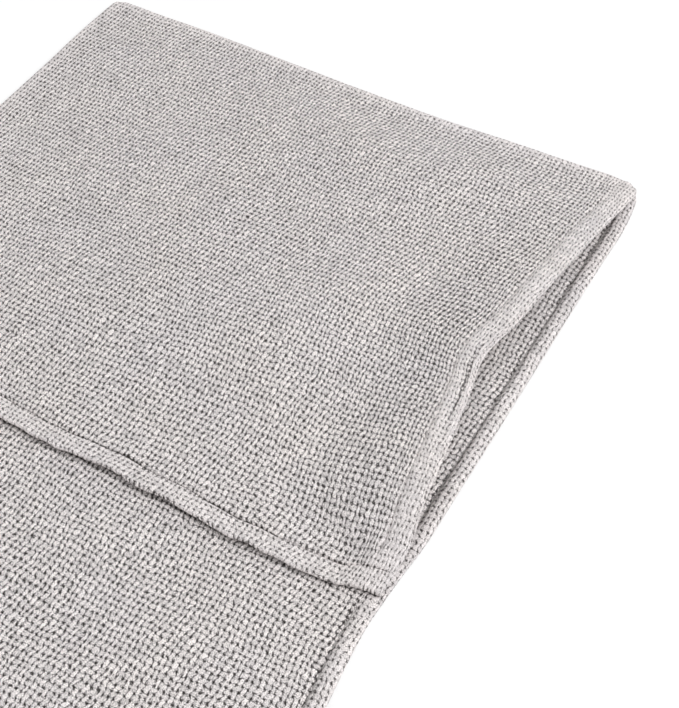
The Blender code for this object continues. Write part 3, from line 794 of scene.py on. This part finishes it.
def stand_up(across, insets):
    """How far the hem's free edge stands off the strip: less at the open corner, uneven between stitches."""
    distance = np.concatenate([insets[:HEM_COUNT], np.ones((len(straight), 1))])
    uneven = 1 + 0.14 * np.sin(across * 390.0 + 2.5 * np.sin(across * 71.0))
    at_corner = mix(1.0, 0.3, ease((across - 0.105) / 0.035))
    return HEM_STANDS_UP * uneven * (1 - ease(distance / 0.0082)) * at_corner


face_y, back_y = row_place(x, inset), row_place(back_x, back_inset)
top = front_height(x, face_y)
puckers = 1 + 0.35 * np.sin(x * 720.0 + 2 * np.sin(x * 90.0))
hem_rise = np.concatenate([np.full(len(ARC), 0.0001), HEM_ROW_RISES, np.zeros(len(straight))])[:, None]
away_from_mouth = 1 - ease((x - mouth + 0.016) / 0.012)
top = top + np.where(hem_rise < 0, hem_rise * puckers, hem_rise) * mix(0.6, 1.0, away_from_mouth)
top = top + stand_up(x, inset)

last = slice(lip_start - 1, lip_start)
cord = hill((rough_y - CORD_MIDDLE) / CORD_REACH)
band_top = front_height(x[:, last], face_y[:, last]) + MOUTH_RISES[-1]
top[:, last] -= CORD_GROOVE * cord
band_rise = np.concatenate([np.zeros(band_start), MOUTH_RISES, np.full(LIP_COUNT, MOUTH_RISES[-1])])
band_swell = 1 + 0.30 * np.sin(rough_y * 610.0 + 1.5 * np.sin(rough_y * 95.0))
groove_fades = np.where(band_rise < 0, band_swell * (1 - ease((rough_y - 0.420) / 0.020)), 1.0)
top = top + band_rise * groove_fades * ease((rough_y - 0.196) / 0.012)
top[:, lip_start:] = band_top - thickness / 2 + lip_up

from_seam = np.clip(FRONT_LEFT / 0.0036, 0, 1)
seam = SEAM_RADIUS * 2 - 0.0001 + cloth_lift(x[:, :SEAM_COUNT], face_y[:, :SEAM_COUNT])
top[:, :SEAM_COUNT] = mix(seam, top[:, :SEAM_COUNT], np.sqrt(1 - (1 - from_seam) ** 2))
print("the mouth's edge is up to", round(float(band_top.max()) * 1000, 1), "mm high")

# %% [markdown]
# ## The front's underside
# The underside lies on the strip below the hem, hangs free elsewhere, and is thick under the band.
# Along the hem, each row of the edge comes up from the underside on a round arc.

# %% Shape the front's underside
base = CLOTH_TOP + GAP + cloth_lift(back_x, back_y)
free = front_height(back_x, back_y) - CLOTH
on_base = 1 - ease((back_y - hem_line(np.clip(back_x, -HALF_WIDTH, HALF_WIDTH)) - 0.0083) / 0.0016)
under = np.maximum(mix(free, base, on_base), base) + stand_up(back_x, back_inset)
under_band = ease((back_x - mouth + BAND_WIDTH) / 0.0012)
under = mix(under, np.maximum(band_top - thickness, CLOTH_TOP + GAP), under_band)
under[:, :SEAM_COUNT] = np.minimum(under[:, :SEAM_COUNT],
                                   top[:, :SEAM_COUNT] - 0.0002 - CLOTH * from_seam * 0.9)
arc_share = np.concatenate([(1 + np.sin(ARC)) / 2, np.ones(rows - len(ARC))])[:, None]
foot = np.concatenate([under[:, :lip_start], np.repeat(under[:, last], LIP_COUNT, 1)], 1)
face_z = np.where(arc_share < 1, foot + (top - foot) * arc_share, top)
front_face = np.stack(np.broadcast_arrays(x, face_y, face_z), -1)
front_back = np.stack(np.broadcast_arrays(back_x, back_y, under), -1)
between = (face_z - under)[HEM_COUNT:, SEAM_COUNT:band_start] * 1000
print("between seam and band the cloth is", between.min().round(2), "to", between.max().round(2), "mm thick")

# %% [markdown]
# ## The roll at the far end
# The last row turns about an axis at half its height and ends flat on the ground, where it meets
# the strip. That is how the real cloth goes: pocket and strip are one piece, folded once.

# %% Roll the far end
ROLL_ANGLES = np.linspace(math.pi / 2, -math.pi / 2, 13)[1:]
ROLL_COUNT = len(ROLL_ANGLES) + 1
crest_z = np.concatenate([face_z[-1, :lip_start], np.full(LIP_COUNT, band_top[-1, 0])])
centre = crest_z / 2
widen = 0.0009 * ease((x[-1] - 0.10) / 0.05)


def rolled(grid):
    """A grid with its last row carried round the roll and back to the strip."""
    row = grid[-1]
    radius = np.maximum(row[:, 2] - centre, 0.0004)
    turns = [np.stack([row[:, 0] + widen * (1 - math.sin(angle)) / 2, ROLL_AXIS + radius * math.cos(angle),
                       centre + radius * math.sin(angle)], -1) for angle in ROLL_ANGLES]
    tail = turns[-1].copy()
    tail[:, 1] = ROLL_START
    return np.concatenate([grid, np.stack(turns + [tail])])


front_face, front_back = rolled(front_face), rolled(front_back)
far_y = front_face[..., 1].max()
outermost = front_face[rows + len(ROLL_ANGLES) // 2 - 1, :, 0]
for side, corner_x, corner_radius in ((1, outermost.min(), 0.008), (-1, outermost.max(), 0.0075)):
    front_face = round_corner(front_face, (corner_x, far_y), (side, -1), corner_radius)
    front_back = round_corner(front_back, (corner_x, far_y), (side, -1), corner_radius)
print("the roll ends", round(far_y * 1000, 1), "mm from the middle of the arm")

# %% [markdown]
# ## The front's place on the flat cloth
# The pattern needs each point's place on the cloth before it was folded. Threads are drawn in with
# the mouth, and the places go round the band, the seam and the roll by the length of the curve
# there. Then each part is given how tight the stitches pull it, shade is painted into its grooves
# and just inside the mouth, and the threads are raised.

# %% Give the front its pattern and build it
MIDDLE_COLUMN = 60
BAND_CROWDED = 1.35
HEM_CROWDED = 1.2
BAND_TIGHT = 0.8
TIGHT_COLUMNS = 8
ROLL_APPROACH = 6
FRONT_RELIEF = THREAD_RELIEF * 0.8
FRONT_BACK_SHIFT = (0.0, 5.0)

u = x + (HALF_WIDTH - mouth) * ease((x - mouth + 0.13) / 0.13)
band_steps = np.linalg.norm(np.diff(front_face[:rows, band_start:], axis=1), axis=2)
u[:, band_start + 1:] = u[:, band_start:band_start + 1] + np.cumsum(band_steps, 1) * BAND_CROWDED
seam_steps = np.linalg.norm(np.diff(front_face[:rows, :SEAM_COUNT], axis=1), axis=2)
u[:, :SEAM_COUNT - 1] = u[:, SEAM_COUNT - 1:SEAM_COUNT] - np.cumsum(seam_steps[:, ::-1], 1)[:, ::-1]
u = np.concatenate([u, np.repeat(u[-1:], ROLL_COUNT, 0)])
v = face_y - hem_line(0.0)
v[:STITCH_ROW] = HEM_STITCHES + (v[:STITCH_ROW] - HEM_STITCHES) * HEM_CROWDED
roll_steps = np.linalg.norm(np.diff(front_face[rows - 1:, MIDDLE_COLUMN], axis=0), axis=1)
v = np.concatenate([v, v[-1:] + np.cumsum(roll_steps)[:, None]])
front_flat = np.stack([u, v], -1)

# How tight the cloth is: tight in the band, the seams and the roll. Below 0 it is painted shade: a soft patch
# just inside the mouth, the groove beside the band's cord and the hem's stitch line
along = np.concatenate([face_y, np.repeat(face_y[-1:], ROLL_COUNT, 0)])
tightness_and_shade = -0.30 * hill((u - 0.128) / 0.034) * hill((along - 0.315) / 0.125)
tightness_and_shade[:, band_start + BEFORE_BAND:] = BAND_TIGHT
# Painted shade in the groove beside the band's cord, and a touch in the next column
tightness_and_shade[:rows, lip_start - 1] = mix(BAND_TIGHT, -1.8, cord[:, 0])
tightness_and_shade[:rows, lip_start - 2] = mix(BAND_TIGHT, -0.4, cord[:, 0])
tightness_and_shade[:rows, lip_start:] = mix(BAND_TIGHT, 1.2, cord)
tightness_and_shade[:STITCH_ROW - 1] = np.maximum(tightness_and_shade[:STITCH_ROW - 1], 0.45)
# Painted shade along the hem's stitch line, lighter towards the open corner
to_corner = ease((u[STITCH_ROW, TIGHT_COLUMNS:] - 0.085) / 0.03)
tightness_and_shade[STITCH_ROW, TIGHT_COLUMNS:] = mix(-3.0, -1.0, to_corner)
seam_tight = np.linspace(1.1, 0.4, TIGHT_COLUMNS)
tightness_and_shade[:, :TIGHT_COLUMNS] = np.maximum(tightness_and_shade[:, :TIGHT_COLUMNS], seam_tight)
roll_tight = np.clip(np.arange(ROLL_COUNT + ROLL_APPROACH) / ROLL_APPROACH, 0, 1.1)[:, None]
tightness_and_shade[rows - ROLL_APPROACH:] = np.maximum(tightness_and_shade[rows - ROLL_APPROACH:], roll_tight)

relief = FRONT_RELIEF * ease((front_face[..., 0] - 0.118) / 0.01)
relief[:HEM_COUNT] = FRONT_RELIEF
relief[rows:] = THREAD_RELIEF * 0.3
front_face, front_back = pull_far_end(front_face), pull_far_end(front_back)
front_face = raise_threads(front_face, front_flat, relief)
for grid in (front_face, front_back):
    grid[..., 2] = np.maximum(grid[..., 2], LOWEST)
tablet_front = cloth_piece("tablet_pocket_cloth", front_face, front_back, front_flat,
                           front_flat + FRONT_BACK_SHIFT, upholstery, tightness_and_shade)

# %% [markdown]
# ## The patch pockets
# Three pieces of the same cloth are sewn to the other end on three sides. They stand open at their
# mouths, because they are cut a little wider than the place they cover. A thicker hem runs along
# each mouth. They aren't in the picture, so their look is taken from such organizers. Each one is
# fitted to the box of its solid, so a change of the CAD model moves it too.

# %% Make the patch pockets
PATCH_LENGTH = 0.165
PATCH_BOTTOM = -0.434
PATCH_SEAM = 0.005
PATCH_HEM = 0.014
PATCH_HEM_CLOTH = 0.0032
PATCH_ROW_STEP = 0.0021
PATCH_CORNER = 0.004
PATCH_GROOVE = 0.0006
SEAM_STITCHES = 0.0030
PATCH_INSETS = np.concatenate([0.0012 * (1 - np.cos(ARC[4:])),
                               [0.0020, 0.0026, SEAM_STITCHES, 0.0034, 0.0041, PATCH_SEAM]])
PATCH_STITCH = PATCH_INSETS.tolist().index(SEAM_STITCHES)
PATCH_HEM_ROWS = np.array([PATCH_HEM + 0.0012, PATCH_HEM + 0.0004, PATCH_HEM - 0.0003, PATCH_HEM - 0.0012,
                           0.0105, 0.0085, 0.0065, 0.0045, 0.0028])
PATCH_HEM_STITCH = 3 - len(PATCH_HEM_ROWS) - len(ARC)
PATCH_BACK_SHIFT = (0.0, 2.0)
patches = {"glasses_pocket": 0.021, "phone_pocket": 0.014, "remote_pocket": 0.019}


def patch_swell(inside, ahead, room):
    """How far a patch pocket's cloth stands off the strip."""
    arch = (2 * np.sqrt(np.clip(inside * (1 - inside), 0, 1))) ** 0.6
    opening = np.sqrt(1 - (1 - np.clip(ahead / 0.6, 0, 1)) ** 2) * mix(0.8, 1.0, ahead)
    return room * arch * opening


def patch_pocket(node, room):
    """One patch pocket, fitted to the box of its solid in the frame."""
    low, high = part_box(node)
    width = high.x - low.x
    inner = (1 - np.cos(np.linspace(0, math.pi, 44)[1:-1])) / 2
    x = np.concatenate([low.x + PATCH_INSETS, low.x + PATCH_SEAM + (width - 2 * PATCH_SEAM) * inner,
                        high.x - PATCH_INSETS[::-1]])[None, :]
    straight = np.arange(PATCH_SEAM + 0.0008, PATCH_LENGTH - PATCH_HEM - 0.002, PATCH_ROW_STEP)
    mouth = PATCH_LENGTH - PATCH_HEM_CLOTH / 2 * (1 - np.cos(ARC[::-1]))
    along = np.concatenate([PATCH_INSETS, straight, PATCH_LENGTH - PATCH_HEM_ROWS, mouth])[:, None]
    inside = (x - low.x - PATCH_SEAM) / (width - 2 * PATCH_SEAM)
    ahead = np.clip((along - PATCH_SEAM) / (PATCH_LENGTH - PATCH_SEAM), 0, 1)
    y = PATCH_BOTTOM + along
    under = CLOTH_TOP + GAP + cloth_lift(x, y) + patch_swell(np.clip(inside, 0, 1), ahead, room)
    # Grooves along the seams and the hem, and edges that round down to the strip
    hemmed = ease((along - PATCH_LENGTH + PATCH_HEM + 0.0004) / 0.0012)
    cloth = mix(CLOTH, PATCH_HEM_CLOTH, hemmed)
    sewn = [hill((distance - SEAM_STITCHES) / 0.0011) for distance in (x - low.x, high.x - x, along)]
    hem_groove = hill((along - PATCH_LENGTH + PATCH_HEM - 0.0016) / 0.0012)
    groove = PATCH_GROOVE * np.maximum(np.maximum(sewn[0], sewn[1]), np.maximum(sewn[2], hem_groove))
    to_edge = np.minimum(np.minimum(x - low.x, high.x - x), along)
    rounding = np.sqrt(1 - (1 - np.clip(to_edge / 0.0016, 0, 1)) ** 2)
    top = under + (cloth - groove) * mix(0.25, 1.0, rounding)
    fall = np.concatenate([np.zeros(len(along) - len(ARC)), 1 - (1 + np.sin(ARC[::-1])) / 2])[:, None]
    top = top - cloth * fall
    back_along = np.minimum(along, PATCH_LENGTH - PATCH_HEM_CLOTH / 2 - 0.0001)[:-len(ARC)]
    back_end = PATCH_LENGTH - PATCH_HEM_CLOTH / 2 - 0.0002
    back_mouth = np.linspace(back_along[-1, 0] + 0.0001, back_end, len(ARC))
    back_y = PATCH_BOTTOM + np.concatenate([back_along, back_mouth[:, None]])
    face = np.stack(np.broadcast_arrays(x, y, top), -1)
    back = np.stack(np.broadcast_arrays(x, back_y, under), -1)
    for side, edge in ((1, low.x), (-1, high.x)):
        face = round_corner(face, (edge, PATCH_BOTTOM), (side, 1), PATCH_CORNER)
        back = round_corner(back, (edge, PATCH_BOTTOM), (side, 1), PATCH_CORNER)
    # Across, the places on the flat cloth follow the curve, which also gives the cloth's flat width
    middle_row = face[len(along) // 2]
    run = np.concatenate([[0], np.cumsum(np.linalg.norm(np.diff(middle_row, axis=0), axis=1))])
    flat = np.stack(np.broadcast_arrays(run[None, :] + low.x * 3, y), -1)
    tightness_and_shade = np.maximum(hemmed * 0.5, (1 - ease(to_edge / 0.004)) * 0.5)
    name = node.replace("pocket", "pocket_cloth")
    piece = cloth_piece(name, face, back, flat, flat + PATCH_BACK_SHIFT, upholstery, tightness_and_shade)
    return piece, face, float(run[-1])


patch_pieces = {node: patch_pocket(node, room) for node, room in patches.items()}

# %% [markdown]
# ## The lining
# A fine dark cloth is sewn under the strip, with small rubber grips that keep it from sliding on
# the arm. It isn't in the picture, so its look is taken from such organizers. The grips stand
# 0.4 mm out, so the lining's underside lies that much off the ground.

# %% Make the lining
LINING_INSET = 0.0056
GRIP_HEIGHT = 0.0004
LINING_TOP = 0.0010
REMOTE_END = -0.4444
TABLET_END = 0.4422
LINING_COLUMNS = 60
LINING_ROWS = 110


def lining_half(name, start, end):
    """Half of the lining, from the middle of the arm to one end."""
    y = np.linspace(start, end, LINING_ROWS)[:, None]
    x = np.linspace(-HALF_WIDTH + LINING_INSET, HALF_WIDTH - LINING_INSET, LINING_COLUMNS)[None, :]
    lift = cloth_lift(x, y)
    face = np.stack(np.broadcast_arrays(x, y, LINING_TOP + lift), -1)
    back = np.stack(np.broadcast_arrays(x, y, GRIP_HEIGHT + lift), -1)
    flat = np.stack(np.broadcast_arrays(x, y), -1)
    return cloth_piece(name, pull_far_end(face), pull_far_end(back), flat, flat, lining_cloth)


lining_tablet = lining_half("tablet_half_lining", 0.0, TABLET_END)
lining_remote = lining_half("remote_half_lining", REMOTE_END, 0.0)

# %% [markdown]
# ## Thread and rubber
# The sewing thread is a grey a little darker than the cloth, and the grips are soft grey rubber.
# Both are too small for a pattern to show, so a fine noise in the colour and the relief is enough.

# %% Make the finishes of the thread and the grips
SEWING_THREAD = (0.50, 0.48, 0.47, 1)
RUBBER = (0.30, 0.295, 0.29, 1)


def plain_material(name, colour, roughness, scale):
    """A simple finish with a fine noise in its colour and its relief."""
    material, tree = blank_material(name)
    place = wire(tree, "ShaderNodeTexCoord")
    noise = wire(tree, "ShaderNodeTexNoise", Vector=place.outputs["Object"], Scale=scale, Detail=2.0)
    shade = calc(tree, "MULTIPLY_ADD", noise.outputs["Fac"], 0.3, 0.85)
    toned = arrow(tree, "SCALE", i0=colour[:3], Scale=shade)
    relief = wire(tree, "ShaderNodeBump", Strength=1.0, Distance=0.0001, Height=noise.outputs["Fac"])
    shader = wire(tree, "ShaderNodeBsdfPrincipled", Base_Color=toned, Roughness=roughness,
                  Normal=relief.outputs[0], Specular_IOR_Level=0.25)
    wire(tree, "ShaderNodeOutputMaterial", Surface=shader.outputs[0])
    material.diffuse_color = colour
    return material


thread_finish = plain_material("sewing_thread", SEWING_THREAD, roughness=0.8, scale=2500.0)
rubber_finish = plain_material("grip_rubber", RUBBER, roughness=0.7, scale=900.0)
print("finishes:", thread_finish.name, "and", rubber_finish.name)

# %% [markdown]
# ## Stitches and grips by Geometry Nodes
# A seam repeats one short stitch along a line, and the grips repeat one dot over a sheet, so both
# are made by small node trees. Each takes its sizes as named inputs, and puts a stretched ball on
# every point. The balls are made real at the end, because the export drops instances.

# %% Build the two node trees
STITCH_LENGTH = 0.0036
STITCH_PITCH = 0.0045
THREAD_RADIUS = 0.0004
GRIP_RADIUS = 0.0016


def start_tree(title, shape, sizes, material):
    """A tree with named inputs for a shape, some sizes and a material, and their identifiers."""
    tree = bpy.data.node_groups.new(title, "GeometryNodeTree")
    wanted = [(shape, "NodeSocketGeometry", None)]
    wanted += [(name, "NodeSocketFloat", value) for name, value in sizes.items()]
    wanted.append((material, "NodeSocketMaterial", None))
    names = {}
    for name, kind, value in wanted:
        socket = tree.interface.new_socket(name, in_out="INPUT", socket_type=kind)
        if value is not None:
            socket.default_value = value
        names[name] = socket.identifier
    tree.interface.new_socket("Result", in_out="OUTPUT", socket_type="NodeSocketGeometry")
    return tree, tree.nodes.new("NodeGroupInput").outputs, names


def place_balls(tree, points, ball, size, material, **more):
    """Put a stretched ball on every point, make the balls real and give them their material."""
    stretched = wire(tree, "GeometryNodeTransform", Geometry=ball.outputs[0], Scale=size.outputs[0])
    placed = wire(tree, "GeometryNodeInstanceOnPoints", Points=points, Instance=stretched.outputs[0], **more)
    real = wire(tree, "GeometryNodeRealizeInstances", Geometry=placed.outputs[0])
    dressed = wire(tree, "GeometryNodeSetMaterial", Geometry=real.outputs[0], Material=material)
    wire(tree, "NodeGroupOutput", Result=dressed.outputs[0])


def stitch_tree():
    """Short threads laid end to end along every line of a mesh."""
    sizes = {"Stitch pitch": STITCH_PITCH, "Stitch length": STITCH_LENGTH, "Thread radius": THREAD_RADIUS}
    tree, given, names = start_tree("stitches_along_lines", "Lines", sizes, "Thread")
    curve = wire(tree, "GeometryNodeMeshToCurve", Mesh=given["Lines"])
    evenly = wire(tree, "GeometryNodeCurveToPoints", [("mode", "LENGTH")], Curve=curve.outputs[0],
                  Length=given["Stitch pitch"])
    ball = wire(tree, "GeometryNodeMeshUVSphere", Segments=8, Rings=6, Radius=0.5)
    thick = calc(tree, "MULTIPLY", given["Thread radius"], 2.0)
    size = wire(tree, "ShaderNodeCombineXYZ", X=thick, Y=thick, Z=given["Stitch length"])
    place_balls(tree, evenly.outputs["Points"], ball, size, given["Thread"],
                Rotation=evenly.outputs["Rotation"])
    return tree, names


def grip_tree():
    """A dot on every point of a mesh, each a little different in size."""
    sizes = {"Grip radius": GRIP_RADIUS, "Grip height": GRIP_HEIGHT}
    tree, given, names = start_tree("grips_on_points", "Places", sizes, "Rubber")
    points = wire(tree, "GeometryNodeMeshToPoints", Mesh=given["Places"])
    ball = wire(tree, "GeometryNodeMeshUVSphere", Segments=10, Rings=5, Radius=1.0)
    size = wire(tree, "ShaderNodeCombineXYZ", X=given["Grip radius"], Y=given["Grip radius"],
                Z=given["Grip height"])
    vary = wire(tree, "FunctionNodeRandomValue", [("data_type", "FLOAT_VECTOR")], i0=(0.85, 0.85, 1.0),
                i1=(1.1, 1.1, 1.0), Seed=7)
    place_balls(tree, points.outputs[0], ball, size, given["Rubber"], Scale=vary.outputs[0])
    return tree, names


def run_tree(name, tree, names, points, edges, values):
    """Run a tree on points and lines, keep its result as a plain mesh, and drop the modifier."""
    seed = bpy.data.meshes.new(name + "_lines")
    seed.from_pydata([tuple(map(float, point)) for point in points], edges, [])
    carrier = bpy.data.objects.new(name + "_lines", seed)
    scene.collection.objects.link(carrier)
    modifier = carrier.modifiers.new("pattern", "NODES")
    modifier.node_group = tree
    for key, value in values.items():
        modifier[names[key]] = value
    evaluated = carrier.evaluated_get(bpy.context.evaluated_depsgraph_get())
    mesh = bpy.data.meshes.new_from_object(evaluated)
    mesh.name = name
    mesh.shade_smooth()
    bpy.data.objects.remove(carrier)
    piece = bpy.data.objects.new(name, mesh)
    scene.collection.objects.link(piece)
    print(name, "has", len(mesh.polygons), "faces")
    return piece


stitches, stitch_names = stitch_tree()
grips, grip_names = grip_tree()

# %% [markdown]
# ## The seams
# The lines for the seams are computed from the same functions as the cloth, or taken from its
# grid, so that the thread lies in its groove. Each piece gets stitches of its own, which ride on
# the same body as the piece where it has one.

# %% Lay the seams
THREAD_LIFT = 0.0001
FINE_THREAD = 0.00026
HEM_THREAD_DEPTH = 0.0014
BAND_THREAD_DEPTH = 0.0008
SIDE_SEAM_END = 12
HEM_SEAM_INDENT = 9
EDGE_LINE_POINTS = 160
END_LINE_POINTS = 80
POCKET_LINE_POINTS = 150


def sew(name, lines, radius=THREAD_RADIUS):
    """Stitches along several lines of points, as one mesh."""
    points, edges = [], []
    for line in lines:
        first = len(points)
        points.extend(line)
        edges.extend((first + index, first + index + 1) for index in range(len(line) - 1))
    values = {"Stitch pitch": STITCH_PITCH, "Stitch length": STITCH_LENGTH, "Thread radius": radius,
              "Thread": thread_finish}
    return run_tree(name, stitches, stitch_names, points, edges, values)


def edge_seam(start, end, side):
    """The line of stitches along one long edge of the strip."""
    y = np.linspace(start, end, EDGE_LINE_POINTS)
    x = closed_edge(y) + GROOVE_INSET if side < 0 else open_edge(y) - GROOVE_INSET
    z = CLOTH_TOP - SEAM_DEPTH + cloth_lift(x, y)
    return pull_far_end(np.stack([x, y, z], -1))


def on_grid(line):
    """A line of stitches along part of a row or a column of a piece's face."""
    return line + (0.0, 0.0, THREAD_LIFT)


def patch_lines(face):
    """The stitches of one patch pocket: both sides, the bottom and the hem of its mouth."""
    corner = PATCH_STITCH
    sides = [on_grid(face[corner:-SIDE_SEAM_END, column]) for column in (corner, -corner - 1)]
    bottom = on_grid(face[corner, corner:-corner])
    hem = on_grid(face[PATCH_HEM_STITCH, HEM_SEAM_INDENT:-HEM_SEAM_INDENT])
    return [*sides, bottom, hem]


tablet_seams = sew("tablet_half_stitches", [edge_seam(0.002, 0.184, -1), edge_seam(0.002, 0.440, 1)])
end_x = np.linspace(-HALF_WIDTH + GROOVE_INSET, HALF_WIDTH - GROOVE_INSET, END_LINE_POINTS)
end_y = np.full(END_LINE_POINTS, -STRIP_END + GROOVE_INSET)
end_line = np.stack([end_x, end_y, CLOTH_TOP - SEAM_DEPTH + cloth_lift(end_x, end_y)], -1)
remote_seams = sew("remote_half_stitches",
                   [edge_seam(-0.441, -0.002, -1), edge_seam(-0.441, -0.002, 1), end_line])
hem_x = np.linspace(-0.146, 0.138, POCKET_LINE_POINTS)
hem_y = hem_line(hem_x) + HEM_STITCHES
hem_z = front_height(hem_x, hem_y) - HEM_THREAD_DEPTH
mouth_y = np.linspace(0.206, 0.440, POCKET_LINE_POINTS)
mouth_x = through(mouth_y, MOUTH_STATIONS, MOUTH_X) - BAND_WIDTH
mouth_z = front_height(mouth_x, mouth_y) - BAND_THREAD_DEPTH + THREAD_LIFT
mouth_line = pull_far_end(np.stack([mouth_x, mouth_y, mouth_z], -1))
front_seams = sew("tablet_pocket_stitches", [np.stack([hem_x, hem_y, hem_z], -1), mouth_line], FINE_THREAD)
patch_seams = sew("patch_pocket_stitches",
                  [line for piece, face, flat_width in patch_pieces.values() for line in patch_lines(face)])

# %% [markdown]
# ## The grips
# Dots in staggered rows hold the strip from every side with little rubber, so they are printed on
# the lining that way. They lie on the underside, and the picture doesn't show them.

# %% Lay the grips
GRIP_SPACING = 0.0135
GRIP_REACH = 0.138


def grip_dots(name, low, high):
    """Rubber dots in staggered rows on the lining's underside."""
    rows = np.arange(low + GRIP_SPACING / 2, high - GRIP_SPACING / 4, GRIP_SPACING * 0.87)
    points = []
    for index, y in enumerate(rows):
        x = np.arange(-GRIP_REACH + (index % 2) * GRIP_SPACING / 2, GRIP_REACH + 0.001, GRIP_SPACING)
        points.extend(pull_far_end(np.stack([x, np.full(len(x), y), GRIP_HEIGHT + cloth_lift(x, y)], -1)))
    values = {"Grip radius": GRIP_RADIUS, "Grip height": GRIP_HEIGHT, "Rubber": rubber_finish}
    return run_tree(name, grips, grip_names, points, [], values)


tablet_grips = grip_dots("tablet_half_grips", 0.0, TABLET_END)
remote_grips = grip_dots("remote_half_grips", REMOTE_END, 0.0)

# %% [markdown]
# ## Tie the pieces to the frame
# The pocket pieces and their stitches now ride on the body that carries them. The two halves of
# the strip, with their lining, seams and grips, cross the folds between two bodies; their places
# are only baked in, and they ride on no body. The CAD solids that all of these stand for are hidden.


def bend(piece, body, side):
    """A piece that crosses the fold between the armrest's panel and one end."""
    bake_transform(piece)


for piece in (tablet_half, lining_tablet, tablet_seams, tablet_grips):
    bend(piece, "tablet_end", 1)
for piece in (remote_half, lining_remote, remote_seams, remote_grips):
    bend(piece, "remote_end", -1)
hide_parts("armrest_panel", "tablet_fold", "tablet_end_panel")
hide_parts("armrest_panel", "remote_fold", "remote_end_panel")
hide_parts("armrest_lining", "tablet_end_lining")
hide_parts("armrest_lining", "remote_end_lining")
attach(tablet_front, "tablet_end")
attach(front_seams, "tablet_end")
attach(patch_seams, "remote_end")
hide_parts("tablet_pocket_front")
for node, (piece, face, flat_width) in patch_pieces.items():
    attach(piece, "remote_end")
    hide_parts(node)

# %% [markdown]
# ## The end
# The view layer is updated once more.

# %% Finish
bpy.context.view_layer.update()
